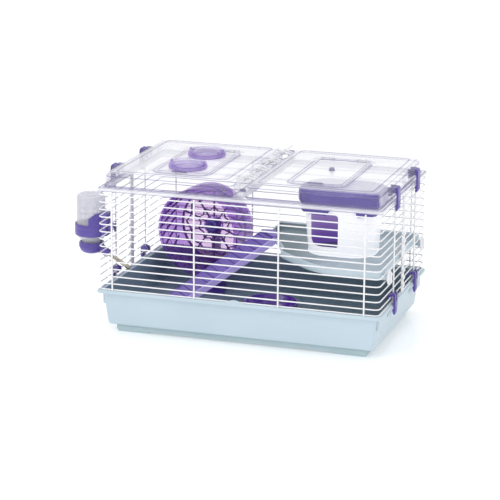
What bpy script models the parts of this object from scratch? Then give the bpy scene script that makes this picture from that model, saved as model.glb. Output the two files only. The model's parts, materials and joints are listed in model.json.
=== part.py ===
"""Small-pet cage: plastic base tray, wire body, hinged clear lids, shelf, ramp, house, wheel, bowl and bottle.

Metres, +Z up, standing on z = 0.  X runs along the long side, -Y is the front.
Lengths below are in millimetres and are turned into metres when a mesh is made.
"""
import math

import bmesh
import bpy
from mathutils import Matrix, Vector

# ------------------------------------------------------------------ dimensions (mm)
X_SHIFT = 26.6            # puts the middle of the whole outline, bottle included, on x = 0

TRAY_HX, TRAY_HY = 240.0, 153.4      # outer edge of the rim
TRAY_RIM_Z = 74.2                    # top of the rim
TRAY_LIP_Z = 68.2                    # underside of the rim
TRAY_FLOOR_Z = 17.5                  # inside floor
FOOT_H = 3.5
BAND_Z = 46.5                        # lower edge of the thicker band on the short walls

WIRE_X, WIRE_Y = 236.0, 149.4        # centre planes of the wires
WIRE_T = 1.1                         # half thickness of a wire
WIRE_Z0, WIRE_PITCH, WIRE_ROWS = 85.4, 12.38, 13
WIRE_BOT, WIRE_TOP = 74.5, 238.7
WIRE_BEND = 8.0
FRONT_UPRIGHTS = (-212.0, -70.7, 70.7, 212.0)
SIDE_UPRIGHT = 68.0
SEAM_HALF = 6.5

FRAME_HX, FRAME_HY = 238.8, 150.8
FRAME_Z0, FRAME_Z1 = 239.0, 245.0

LID_Z0, LID_Z1, LID_T = 245.3, 268.5, 2.2
LID_IN, LID_OUT, LID_HY = 9.5, 231.0, 141.0
HINGE_Z, HINGE_R, PIN_R, PIN_HOLE = 269.5, 4.0, 1.5, 1.85
HINGE_GROUPS = (-97.0, -33.0, 33.0, 97.0)

HATCH_HX, HATCH_Y0, HATCH_Y1 = 46.0, -110.0, 68.0
HATCH_Z0, HATCH_Z1 = 268.8, 270.8
HATCH_XL, HATCH_XR = -111.0, 117.0
HATCH_AXIS_Y, HATCH_AXIS_Z = 71.8, 271.7
PORT_X, PORT_YF, PORT_YB, PORT_R = -109.5, -71.0, 22.0, 32.0

LID_CLIP_Y, LID_CLIP_X, LID_CLIP_Z = 66.0, 237.0, 261.5
TRAY_CLIP_Y = SIDE_UPRIGHT

SHELF_Z0, SHELF_FLOOR, SHELF_Z1 = 125.0, 127.6, 138.0
SHELF = [(-17, 136), (-14.5, 99), (-11, 71), (39, -23), (39, -41), (62, -62), (86, -83),
         (107.5, -101.5), (136, -114.5), (150, -118), (226, -118), (231.5, -112.5), (231.5, 136)]
LOCK_Y, LOCK_Z = 110.0, 128.9

RAMP_TOP = Vector((-27.4, 67.6, 138.0))      # upper left corner of the ramp, at its side-rail tops
RAMP_DIR, RAMP_SLOPE, RAMP_W, RAMP_H = math.radians(222.0), 0.55, 52.0, 13.0

HOUSE_TOP = (126.5, 29.5, 64.5, 48.5, 40.0)  # centre x, y, half sizes, corner radius
HOUSE_BOT = (128.5, 28.5, 56.5, 47.5, 38.0)
HOUSE_Z0, HOUSE_Z1 = 127.9, 224.0

BOWL_C, BOWL_R, BOWL_Z1 = (19.5, -24.0), (46.0, 43.0), 43.5

WHEEL_C = Vector((-140.6, 60.0, 125.1))      # centre of the wheel's open front
WHEEL_TURN = math.radians(-8.7)
WHEEL_R, WHEEL_D = 76.0, 65.0

BOTTLE_X, BOTTLE_Y, BOTTLE_R = -271.6, -93.0, 24.0
TUBE_ANGLE = math.radians(30.0)
TUBE_AT = Vector((-236.0, BOTTLE_Y, 116.35))  # where the drinking tube crosses the wires
TUBE_R = 3.5

# ------------------------------------------------------------------ materials
COLOURS = {
    "tray_blue": (0.52, 0.66, 0.74, 1, 0.42, 0),
    "wire_white": (0.90, 0.90, 0.90, 1, 0.30, 0),
    "clear": (0.86, 0.87, 0.93, 0.35, 0.08, 0),
    "purple": (0.10, 0.065, 0.38, 1, 0.38, 0),
    "purple_clear": (0.28, 0.13, 0.52, 0.6, 0.18, 0),
    "shelf_grey": (0.47, 0.57, 0.64, 1, 0.45, 0),
    "ramp_purple": (0.20, 0.14, 0.47, 1, 0.42, 0),
    "house_white": (0.90, 0.89, 0.91, 1, 0.35, 0),
    "bowl_purple": (0.07, 0.02, 0.32, 1, 0.25, 0),
    "lock_white": (0.86, 0.86, 0.88, 1, 0.35, 0),
    "steel": (0.62, 0.61, 0.58, 1, 0.22, 1),
    "rubber": (0.35, 0.35, 0.36, 1, 0.8, 0),
}


def material(key):
    name = key
    if name in bpy.data.materials:
        return bpy.data.materials[name]
    r, g, b, a, rough, metal = COLOURS[key]
    m = bpy.data.materials.new(name)
    m.use_nodes = True
    s = m.node_tree.nodes["Principled BSDF"]
    s.inputs["Base Color"].default_value = (r, g, b, 1)
    s.inputs["Roughness"].default_value = rough
    s.inputs["Metallic"].default_value = metal
    s.inputs["Alpha"].default_value = a
    return m


# ------------------------------------------------------------------ mesh helpers
def mesh_object(name, verts, faces):
    """A closed mesh object with its faces turned outwards.  verts are in millimetres."""
    me = bpy.data.meshes.new(name)
    bm = bmesh.new()
    vs = [bm.verts.new(Vector(v) * 0.001) for v in verts]
    for f in faces:
        bm.faces.new([vs[i] for i in f])
    bmesh.ops.recalc_face_normals(bm, faces=bm.faces)
    bm.to_mesh(me)
    bm.free()
    ob = bpy.data.objects.new(name, me)
    bpy.context.scene.collection.objects.link(ob)
    return ob


def rrect(hx, hy, r, z, cx=0.0, cy=0.0, n=4):
    """A rectangle with round corners, counter-clockwise, as 4 (n + 1) points."""
    out = []
    for sx, sy, a0 in ((1, 1, 0), (-1, 1, 90), (-1, -1, 180), (1, -1, 270)):
        for i in range(n + 1):
            a = math.radians(a0 + 90 * i / n)
            out.append((cx + sx * (hx - r) + r * math.cos(a), cy + sy * (hy - r) + r * math.sin(a), z))
    return out


def loft(name, rings, closed=False):
    """Skin through rings of equal count: capped at both ends, or joined end to end."""
    n = len(rings[0])
    verts = [p for ring in rings for p in ring]
    faces = []
    last = len(rings) if closed else len(rings) - 1
    for i in range(last):
        a, b = i * n, ((i + 1) % len(rings)) * n
        for j in range(n):
            k = (j + 1) % n
            faces.append((a + j, a + k, b + k, b + j))
    if not closed:
        faces.append(tuple(range(n)))
        faces.append(tuple(range((len(rings) - 1) * n, len(rings) * n)))
    return mesh_object(name, verts, faces)


def box(name, lo, hi):
    (x0, y0, z0), (x1, y1, z1) = lo, hi
    return loft(name, [[(x0, y0, z0), (x1, y0, z0), (x1, y1, z0), (x0, y1, z0)],
                       [(x0, y0, z1), (x1, y0, z1), (x1, y1, z1), (x0, y1, z1)]])


def prism(name, outline, at, length):
    """An outline of (u, v) pairs pushed along an axis.  at(u, v, w) gives the point."""
    return loft(name, [[at(u, v, 0) for u, v in outline], [at(u, v, length) for u, v in outline]])


def frame_of(axis):
    """Two directions at right angles to an axis."""
    axis = axis.normalized()
    u = axis.cross(Vector((0, 0, 1)))
    if u.length < 1e-3:
        u = Vector((1, 0, 0))
    u.normalize()
    return u, axis.cross(u)


def turned(name, profile, base, axis, segs, closed=False, scale=(1.0, 1.0)):
    """A turned solid: profile of (radius, height) about an axis.  Radius 0 makes a pole."""
    axis = axis.normalized()
    u, v = frame_of(axis)
    verts, rings = [], []
    for r, h in profile:
        if r == 0:
            rings.append([len(verts)])
            verts.append(base + axis * h)
        else:
            ring = []
            for i in range(segs):
                a = 2 * math.pi * i / segs
                ring.append(len(verts))
                verts.append(base + axis * h + u * (r * scale[0] * math.cos(a)) + v * (r * scale[1] * math.sin(a)))
            rings.append(ring)
    faces = []
    pairs = list(zip(rings, rings[1:])) + ([(rings[-1], rings[0])] if closed else [])
    for a, b in pairs:
        for i in range(segs):
            k = (i + 1) % segs
            if len(a) == 1 and len(b) == 1:
                continue
            if len(a) == 1:
                faces.append((a[0], b[i], b[k]))
            elif len(b) == 1:
                faces.append((a[i], a[k], b[0]))
            else:
                faces.append((a[i], a[k], b[k], b[i]))
    return mesh_object(name, verts, faces)


def rod(name, a, b, r, segs=12, r2=None):
    """A plain round bar or peg between two points, with flat ends."""
    a, b = Vector(a), Vector(b)
    u, v = frame_of(b - a)
    rings = []
    for c, rad in ((a, r), (b, r if r2 is None else r2)):
        rings.append([c + u * (rad * math.cos(2 * math.pi * (i + 0.25) / segs)) + v * (rad * math.sin(2 * math.pi * (i + 0.25) / segs)) for i in range(segs)])
    return loft(name, rings)


def combine(ob, others, op):
    """Join or cut with Blender's exact Boolean, and keep the result as plain mesh."""
    for o in others:
        m = ob.modifiers.new("shape", "BOOLEAN")
        m.operation = op
        m.solver = "EXACT"
        m.object = o
    bpy.context.view_layer.update()
    dg = bpy.context.evaluated_depsgraph_get()
    me = bpy.data.meshes.new_from_object(ob.evaluated_get(dg))
    ob.modifiers.clear()
    ob.data = me
    for o in others:
        bpy.data.objects.remove(o)
    bm = bmesh.new()
    bm.from_mesh(me)
    bmesh.ops.remove_doubles(bm, verts=bm.verts, dist=1e-6)
    bmesh.ops.dissolve_degenerate(bm, edges=bm.edges, dist=1e-7)
    bm.to_mesh(me)
    bm.free()
    return ob


def union(ob, *others):
    return combine(ob, list(others), "UNION")


def cut(ob, *others):
    return combine(ob, list(others), "DIFFERENCE")


def place(ob, mat, origin=(0, 0, 0), smooth=0):
    """Gives a finished piece its material, its origin and its place under the cage's empty."""
    o = Vector(origin) * 0.001
    ob.data.transform(Matrix.Translation(-o))
    ob.location = o
    ob.parent = ROOT
    ob.data.materials.clear()
    ob.data.materials.append(material(mat))
    if smooth:
        for p in ob.data.polygons:
            p.use_smooth = True
        ob.data.set_sharp_from_angle(angle=math.radians(smooth))
    ob.data.name = ob.name
    return ob


def same_shape(name, src, location, turn=0.0):
    """Another copy of a repeated piece, as its own object on the same mesh."""
    ob = bpy.data.objects.new(name, src.data)
    bpy.context.scene.collection.objects.link(ob)
    ob.location = Vector(location) * 0.001
    ob.rotation_euler = (0, 0, turn)
    ob.parent = ROOT
    return ob


def inset(points, d):
    """Moves every side of a counter-clockwise outline inwards by d."""
    out = []
    n = len(points)
    for i in range(n):
        p0, p1, p2 = (Vector(points[(i + k - 1) % n]) for k in range(3))
        e0, e1 = (p1 - p0).normalized(), (p2 - p1).normalized()
        n0, n1 = Vector((-e0.y, e0.x)), Vector((-e1.y, e1.x))
        m = (n0 + n1).normalized()
        out.append(p1 + m * (d / max(0.3, m.dot(n0))))
    return out


for o in list(bpy.data.objects):
    bpy.data.objects.remove(o)
ROOT = bpy.data.objects.new("cage_centre", None)
ROOT.location = (X_SHIFT * 0.001, 0, 0)
bpy.context.scene.collection.objects.link(ROOT)


# ------------------------------------------------------------------ base tray
def make_tray():
    rings = [rrect(214, 132, 10, FOOT_H), rrect(214, 132, 10, 13.0), rrect(224, 138.5, 12, 13.5),
             rrect(225.5, 140, 13, 15.0), rrect(231.5, 145.5, 14, TRAY_LIP_Z),
             rrect(239, 152.4, 17, TRAY_LIP_Z), rrect(TRAY_HX, TRAY_HY, 18, 69.5),
             rrect(TRAY_HX, TRAY_HY, 18, 73.0), rrect(239, 152.4, 17, TRAY_RIM_Z),
             rrect(231.5, 144.9, 13, TRAY_RIM_Z), rrect(229.5, 143.0, 12, 72.0),
             rrect(223.4, 137.9, 11, 19.0), rrect(221.5, 136, 9, TRAY_FLOOR_Z)]
    tray = loft("tray", rings)
    extra = []
    for sx in (-1, 1):
        for sy in (-1, 1):
            xs, ys = sorted((sx * 156, sx * 212)), sorted((sy * 116, sy * 131.4))
            extra.append(box("foot", (xs[0], ys[0], 0), (xs[1], ys[1], FOOT_H + 1)))
        xs = sorted((sx * 230.0, sx * 234.0))
        extra.append(box("band", (xs[0], -138, BAND_Z), (xs[1], 138, 69.0)))
    bump = [(-20, 73.4), (20, 73.4), (13, 78.0), (6, 79.8), (-6, 79.8), (-13, 78.0)]
    extra.append(prism("thumb_tab", bump, lambda u, v, w: (u, -153.0 + w, v), 2.1))
    union(tray, *extra)
    place(tray, "tray_blue", smooth=35)


# ------------------------------------------------------------------ wire body
def lattice(name, sign):
    """One half of the wire body: three sides bent from one flat grid, ending at the side seams."""
    w = WIRE_T
    stations = []            # (x, y, outward normal, is the strip after it an upright)

    def add(x, y, nx, ny, up=False):
        stations.append((x, y * sign, nx, ny * sign, up))

    r = WIRE_BEND
    yb = -(WIRE_Y - r)
    s2 = math.sqrt(0.5)
    add(-WIRE_X, -SEAM_HALF - 1.2, -1, 0, True)
    add(-WIRE_X, -SEAM_HALF - 3.6, -1, 0)
    add(-WIRE_X, -SIDE_UPRIGHT + 1.2, -1, 0, True)
    add(-WIRE_X, -SIDE_UPRIGHT - 1.2, -1, 0)
    add(-WIRE_X, yb, -1, 0)
    add(-WIRE_X + r * (1 - s2), yb - r * s2, -s2, -s2)
    add(-WIRE_X + r, -WIRE_Y, 0, -1)
    for x in FRONT_UPRIGHTS:
        add(x - 1.2, -WIRE_Y, 0, -1, True)
        add(x + 1.2, -WIRE_Y, 0, -1)
    add(WIRE_X - r, -WIRE_Y, 0, -1)
    add(WIRE_X - r * (1 - s2), yb - r * s2, s2, -s2)
    add(WIRE_X, yb, 1, 0)
    add(WIRE_X, -SIDE_UPRIGHT - 1.2, 1, 0, True)
    add(WIRE_X, -SIDE_UPRIGHT + 1.2, 1, 0)
    add(WIRE_X, -SEAM_HALF - 3.6, 1, 0, True)
    add(WIRE_X, -SEAM_HALF - 1.2, 1, 0)

    zs = [WIRE_BOT]
    for k in range(WIRE_ROWS):
        z = WIRE_Z0 + k * WIRE_PITCH
        zs += [z - w, z + w]
    zs.append(WIRE_TOP)
    cols, rows = len(stations) - 1, len(zs) - 1

    def full(i, j):
        return 0 <= i < cols and 0 <= j < rows and (stations[i][4] or j % 2 == 1)

    index, verts, faces = {}, [], []

    def v(i, j, side):
        if (i, j, side) not in index:
            x, y, nx, ny, _ = stations[i]
            k = w if side else -w
            if abs(nx) < 1 and abs(ny) < 1:      # the middle of a bend keeps the bar's thickness
                k *= 1.0 / math.cos(math.pi / 8) if side else 1.0
            index[(i, j, side)] = len(verts)
            verts.append((x + nx * k, y + ny * k, zs[j]))
        return index[(i, j, side)]

    for i in range(cols):
        for j in range(rows):
            if not full(i, j):
                continue
            for s in (0, 1):
                faces.append((v(i, j, s), v(i + 1, j, s), v(i + 1, j + 1, s), v(i, j + 1, s)))
            if not full(i, j - 1):
                faces.append((v(i, j, 0), v(i + 1, j, 0), v(i + 1, j, 1), v(i, j, 1)))
            if not full(i, j + 1):
                faces.append((v(i, j + 1, 0), v(i + 1, j + 1, 0), v(i + 1, j + 1, 1), v(i, j + 1, 1)))
            if not full(i - 1, j):
                faces.append((v(i, j, 0), v(i, j + 1, 0), v(i, j + 1, 1), v(i, j, 1)))
            if not full(i + 1, j):
                faces.append((v(i + 1, j, 0), v(i + 1, j + 1, 0), v(i + 1, j + 1, 1), v(i + 1, j, 1)))
    ob = mesh_object(name, verts, faces)
    place(ob, "wire_white")


def make_seams():
    for name, sx in (("side_seam_left", -1), ("side_seam_right", 1)):
        out = [(-SEAM_HALF, 234.4), (SEAM_HALF, 234.4), (SEAM_HALF, 237.2), (4.5, 238.4), (-4.5, 238.4), (-SEAM_HALF, 237.2)]
        ob = prism(name, out, lambda u, v, w: (sx * v, u, WIRE_BOT + w), WIRE_TOP - WIRE_BOT)
        place(ob, "wire_white")


# ------------------------------------------------------------------ top frame, bridge, lids
def make_frame():
    rings = [rrect(228, 140, 8, FRAME_Z0), rrect(236, 148, 14, FRAME_Z0),
             rrect(FRAME_HX, FRAME_HY, 16, 240.6), rrect(FRAME_HX, FRAME_HY, 16, 243.4),
             rrect(236.5, 148.5, 15, FRAME_Z1), rrect(226, 138, 8, FRAME_Z1)]
    place(loft("top_frame", rings, closed=True), "clear", smooth=50)


def hinge_slots():
    """Knuckle positions along y: each group is left, right, left, right."""
    left, right = [], []
    for c in HINGE_GROUPS:
        for k, into in enumerate((left, right, left, right)):
            y0 = c - 12.4 + k * 6.3
            into.append((y0, y0 + 5.9))
    return left, right


def make_bridge():
    bar = box("center_bridge", (-6.5, -150.4, 245.3), (6.5, 150.4, 250.0))
    parts = [box("rib", (-2, -137.5, 240.0), (2, 137.5, 246.0))]
    post = [(-5.5, 246), (5.5, 246), (5.0, 268), (3.5, 272.2), (0, 273.6), (-3.5, 272.2), (-5.0, 268)]
    for y0 in (-150.4, 142.4, -4.0):
        parts.append(prism("post", post, lambda u, v, w, y0=y0: (u, y0 + w, v), 8.0))
    union(bar, *parts)
    cut(bar, rod("hole", (0, -160, HINGE_Z), (0, 160, HINGE_Z), PIN_HOLE, 14))
    place(bar, "clear", smooth=35)
    pin = rod("hinge_pin", (0, -149.5, HINGE_Z), (0, 149.5, HINGE_Z), PIN_R, 12)
    place(pin, "clear", smooth=35)


def make_lid(name, sign, hatch_x, slots):
    cx = sign * (LID_IN + LID_OUT) / 2
    hx, hy = (LID_OUT - LID_IN) / 2, LID_HY
    rings = [rrect(hx, hy, 9, LID_Z0, cx), rrect(hx - 1.6, hy - 2.4, 10, 260.5, cx),
             rrect(hx - 3.4, hy - 4.6, 11, 266.2, cx), rrect(hx - 7.0, hy - 8.2, 9, LID_Z1, cx),
             rrect(hx - 8.2, hy - 9.4, 8, LID_Z1 - LID_T, cx), rrect(hx - 5.6, hy - 6.8, 9, 264.4, cx),
             rrect(hx - 3.8, hy - 4.6, 8, 260.2, cx), rrect(hx - 2.2, hy - 2.2, 7, LID_Z0, cx)]
    # a cup turned over: outer skin up to the crown, inner skin back down to the foot of the wall
    n = len(rings[0])
    verts = [p for ring in rings for p in ring]
    faces = []
    for i in list(range(3)) + [4, 5, 6]:
        for j in range(n):
            k = (j + 1) % n
            faces.append((i * n + j, i * n + k, (i + 1) * n + k, (i + 1) * n + j))
    for j in range(n):
        k = (j + 1) % n
        faces.append((j, k, 7 * n + k, 7 * n + j))
    faces.append(tuple(range(3 * n, 4 * n)))
    faces.append(tuple(range(4 * n, 5 * n)))
    lid = mesh_object(name, verts, faces)
    # hatch opening
    cut(lid, box("hole", (hatch_x - 41, HATCH_Y0 + 5, 255), (hatch_x + 41, HATCH_Y1 - 5, 280)))
    parts = []
    for y0, y1 in slots:
        parts.append(rod("knuckle", (0, y0, HINGE_Z), (0, y1, HINGE_Z), HINGE_R, 12))
        arm = [(1.0, 266.4), (sign * 0 + 14.5, 266.4), (14.5, 268.4), (8.0, 269.6), (1.0, 271.2)]
        parts.append(prism("arm", arm, lambda u, v, w, y0=y0: (sign * u, y0 + 0.05 + w, v), y1 - y0 - 0.1))
    # ears for the two end clips
    ear = [(228.0, 251.0), (236.5, 255.5), (240.0, 259.0), (240.4, 262.5), (239.0, 265.6), (235.5, 266.8), (226.5, 266.4)]
    for y in (-LID_CLIP_Y, LID_CLIP_Y):
        for y0 in (y - 11.4, y + 9.1):
            parts.append(prism("ear", ear, lambda u, v, w, y0=y0: (sign * u, y0 + w, v), 2.3))
    # lugs that carry the hatch's hinge pin
    for x in (-42.0, -22.6, 19.0, 38.4):
        lug = [(HATCH_AXIS_Y - 3.2, 267.5), (HATCH_AXIS_Y + 4.2, 267.5), (HATCH_AXIS_Y + 2.6, 273.4), (HATCH_AXIS_Y, 274.4), (HATCH_AXIS_Y - 2.4, 273.2)]
        parts.append(prism("lug", lug, lambda u, v, w, x=x: (hatch_x + x + w, u, v), 3.6))
    union(lid, *parts)
    cutters = [rod("hole", (0, -160, HINGE_Z), (0, 160, HINGE_Z), PIN_HOLE, 14),
               rod("hole", (hatch_x - 60, HATCH_AXIS_Y, HATCH_AXIS_Z), (hatch_x + 60, HATCH_AXIS_Y, HATCH_AXIS_Z), 1.35, 8)]
    for y in (-LID_CLIP_Y, LID_CLIP_Y):
        cutters.append(rod("hole", (sign * LID_CLIP_X, y - 13, LID_CLIP_Z), (sign * LID_CLIP_X, y + 13, LID_CLIP_Z), 1.9, 10))
    cut(lid, *cutters)
    place(lid, "clear", origin=(0, 0, HINGE_Z), smooth=40)


def make_hatch(name, hx, ports):
    cy, hy = (HATCH_Y0 + HATCH_Y1) / 2, (HATCH_Y1 - HATCH_Y0) / 2
    plate = loft(name, [rrect(HATCH_HX, hy, 13, HATCH_Z0, hx, cy), rrect(HATCH_HX, hy, 13, 270.0, hx, cy),
                        rrect(HATCH_HX - 1.2, hy - 1.2, 12, HATCH_Z1, hx, cy)])
    parts = []
    for x in (-34.9, 23.1):
        parts.append(rod("knuckle", (hx + x, HATCH_AXIS_Y, HATCH_AXIS_Z), (hx + x + 11.8, HATCH_AXIS_Y, HATCH_AXIS_Z), 2.5, 10))
        arm = [(HATCH_Y1 - 2.5, 269.2), (HATCH_AXIS_Y + 0.5, 269.4), (HATCH_AXIS_Y + 0.5, 271.6), (HATCH_Y1 - 2.5, 270.6)]
        parts.append(prism("arm", arm, lambda u, v, w, x=x: (hx + x + 0.1 + w, u, v), 11.6))
    union(plate, *parts)
    cutters = [rod("hole", (hx - 60, HATCH_AXIS_Y, HATCH_AXIS_Z), (hx + 60, HATCH_AXIS_Y, HATCH_AXIS_Z), 1.35, 8)]
    for y in ports:
        cutters.append(rod("hole", (PORT_X, y, 260), (PORT_X, y, 280), 21.0, 24))
    cut(plate, *cutters)
    place(plate, "clear", origin=(hx, HATCH_AXIS_Y, HATCH_AXIS_Z), smooth=35)
    pin = rod(name.replace("hatch", "hatch_pin"), (hx - 42.5, HATCH_AXIS_Y, HATCH_AXIS_Z), (hx + 42.5, HATCH_AXIS_Y, HATCH_AXIS_Z), 1.0, 8)
    place(pin, "steel", smooth=50)


def make_ports():
    for tag, y in (("front", PORT_YF), ("back", PORT_YB)):
        c = Vector((PORT_X, y, 0))
        up = Vector((0, 0, 1))
        prof = [(23.4, 271.1), (31.0, 271.1), (PORT_R, 273.0), (PORT_R, 277.5), (30.2, 280.2), (27.0, 281.2), (24.6, 280.2), (23.9, 277.5)]
        ring = turned("port_ring_" + tag, prof, c, up, 28, closed=True)
        nubs = [box("nub", (PORT_X + s * 28.6 - 1.6, y - 2.4, 279.6), (PORT_X + s * 28.6 + 1.6, y + 2.4, 283.5)) for s in (-1, 1)]
        union(ring, *nubs)
        place(ring, "purple_clear", origin=(PORT_X, y, 271.1), smooth=40)
        lens = turned("port_window_" + tag, [(0, 271.2), (23.0, 271.2), (23.0, 273.6), (19.0, 276.4), (10.5, 278.6), (0, 279.4)], c, up, 24)
        place(lens, "clear", origin=(PORT_X, y, 271.1), smooth=40)


def make_lid_clips():
    out = [(237.5, 265.4), (240.6, 267.4), (243.0, 266.0), (244.3, 262.0), (244.6, 236.0), (243.4, 229.4), (240.8, 227.6),
           (239.4, 228.8), (239.4, 237.4), (241.0, 239.0), (241.0, 256.0), (238.8, 257.6), (235.6, 258.4), (234.2, 261.5), (235.4, 264.4)]
    y0 = LID_CLIP_Y
    clip = prism("lid_clip_front_right", out, lambda u, v, w: (u, -y0 - 8.6 + w, v), 17.2)
    union(clip, rod("peg", (LID_CLIP_X, -y0 - 11.0, LID_CLIP_Z), (LID_CLIP_X, -y0 + 11.0, LID_CLIP_Z), 1.5, 10))
    place(clip, "purple", origin=(LID_CLIP_X, -y0, LID_CLIP_Z), smooth=30)
    same_shape("lid_clip_back_right", clip, (LID_CLIP_X, y0, LID_CLIP_Z))
    same_shape("lid_clip_front_left", clip, (-LID_CLIP_X, -y0, LID_CLIP_Z), math.pi)
    same_shape("lid_clip_back_left", clip, (-LID_CLIP_X, y0, LID_CLIP_Z), math.pi)


def make_tray_clips():
    """Hooked over the lowest wire from inside, with a toe that reaches under the tray's rim."""
    out = [(231.8, 82.0), (233.9, 82.0), (233.9, 87.5), (240.6, 87.5), (240.6, 66.8), (238.8, 66.0), (238.8, 62.6),
           (240.4, 57.4), (242.6, 56.0), (244.0, 60.0), (244.4, 76.0), (244.2, 89.4), (242.4, 92.8), (239.6, 93.2),
           (236.0, 91.4), (233.2, 90.8), (231.8, 88.6)]
    y0 = TRAY_CLIP_Y
    clip = prism("tray_clip_front_right", out, lambda u, v, w: (u, -y0 - 8.0 + w, v), 16.0)
    cut(clip, box("slot", (228, -y0 - 2.6, 79.0), (248, -y0 + 2.6, 99.0)),
        prism("taper", [(-20, 50), (-8.1, 50), (-5.2, 50), (-8.1, 84), (-20, 84)], lambda u, v, w: (225 + w, -y0 + u, v), 30),
        prism("taper", [(5.2, 50), (8.1, 50), (20, 50), (20, 84), (8.1, 84)], lambda u, v, w: (225 + w, -y0 + u, v), 30))
    place(clip, "purple", origin=(WIRE_X, -y0, WIRE_Z0), smooth=30)
    same_shape("tray_clip_back_right", clip, (WIRE_X, y0, WIRE_Z0))
    same_shape("tray_clip_front_left", clip, (-WIRE_X, -y0, WIRE_Z0), math.pi)
    same_shape("tray_clip_back_left", clip, (-WIRE_X, y0, WIRE_Z0), math.pi)


# ------------------------------------------------------------------ shelf, locks and ramp
def make_shelf():
    def ring(d, z):
        return [(p[0], p[1], z) for p in inset(SHELF, d)]

    shelf = loft("platform", [ring(2.0, SHELF_Z0), ring(0.3, SHELF_Z0 + 2), ring(0, SHELF_Z1), ring(2.4, SHELF_Z1), ring(4.4, SHELF_FLOOR)])
    lugs = [box("lug", (229.0, s * LOCK_Y - 5, 124.9), (239.9, s * LOCK_Y + 5, 132.9)) for s in (-1, 1)]
    union(shelf, *lugs)
    cut(shelf, *[rod("hole", (236.0, s * LOCK_Y, LOCK_Z), (245.0, s * LOCK_Y, LOCK_Z), 2.3, 10) for s in (-1, 1)])
    place(shelf, "shelf_grey", smooth=30)
    for tag, s in (("front", -1), ("back", 1)):
        base = Vector((0, s * LOCK_Y, LOCK_Z))
        knob = turned("platform_lock_" + tag, [(0, 236.4), (2.0, 236.4), (2.0, 240.2), (11.0, 240.2), (11.6, 241.2), (11.6, 242.6), (10.6, 243.6), (0, 243.6)],
                      base, Vector((1, 0, 0)), 20)
        grip = [(-9, -2.2), (-6, -3.0), (6, -3.0), (9, -2.2), (9, 2.2), (6, 3.0), (-6, 3.0), (-9, 2.2)]
        union(knob, prism("grip", grip, lambda u, v, w: (243.0 + w, s * LOCK_Y + v, LOCK_Z + u), 2.8))
        place(knob, "lock_white", origin=(240.0, s * LOCK_Y, LOCK_Z), smooth=35)


def make_ramp():
    d = Vector((math.cos(RAMP_DIR), math.sin(RAMP_DIR), -RAMP_SLOPE))
    c = Vector((-math.sin(RAMP_DIR), math.cos(RAMP_DIR), 0)) * -1.0
    if c.x < 0:
        c = -c
    run = (RAMP_TOP.z - (TRAY_FLOOR_Z + 3.4)) / RAMP_SLOPE
    t, h, w = 2.2, RAMP_H, RAMP_W
    section = [(0, -h), (0, 0), (t, 0), (t, -1.6), (w - t, -1.6), (w - t, 0), (w, 0), (w, -h), (w - t, -h), (w - t, -4.0), (t, -4.0), (t, -h)]
    rings = []
    for s in (-9.0, run + 6.0):
        rings.append([RAMP_TOP + d * s + c * u + Vector((0, 0, v)) for u, v in section])
    ramp = loft("ramp", rings)
    a, b = Vector(SHELF[2]), Vector(SHELF[3])
    e = (b - a).normalized()
    n = Vector((-e.y, e.x))              # towards the shelf
    if n.x < 0:
        n = -n

    def at(along, inward, z):
        p = a + e * along + n * inward
        return (p.x, p.y, z)

    def slab(name, s0, s1, i0, i1, z0, z1):
        base = [(s0, i0), (s1, i0), (s1, i1), (s0, i1)]
        return loft(name, [[at(s, i, z0) for s, i in base], [at(s, i, z1) for s, i in base]])

    cut(ramp, box("floor", (-300, -300, -60), (100, 200, TRAY_FLOOR_Z + 0.3)),
        slab("beside_shelf", -80, 120, -0.7, 80, 60, 170),
        box("above", (-300, -300, 140.6), (100, 200, 200)))
    lt, rt = RAMP_TOP + d * 2.0, RAMP_TOP + d * 2.0 + c * w
    plate = [(lt.x, lt.y), (rt.x, rt.y), at(44, 6.2, 0)[:2], at(2, 6.2, 0)[:2]]
    landing = loft("landing", [[(x, y, 138.35) for x, y in plate], [(x, y, 140.6) for x, y in plate]])
    lip = slab("lip", 2.5, 43.5, 4.6, 6.2, 135.8, 139.5)
    union(ramp, landing, lip)
    m = (a + e * 22 + n * 1.2)
    place(ramp, "ramp_purple", origin=(m.x, m.y, 138.5), smooth=25)


# ------------------------------------------------------------------ house and bowl
def house_ring(t, z, off, n=6):
    top, bot = HOUSE_TOP, HOUSE_BOT
    cx, cy, hx, hy, r = (b + (a - b) * t for a, b in zip(top, bot))
    return rrect(hx + off, hy + off, max(6, r + off), z, cx, cy, n)


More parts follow.
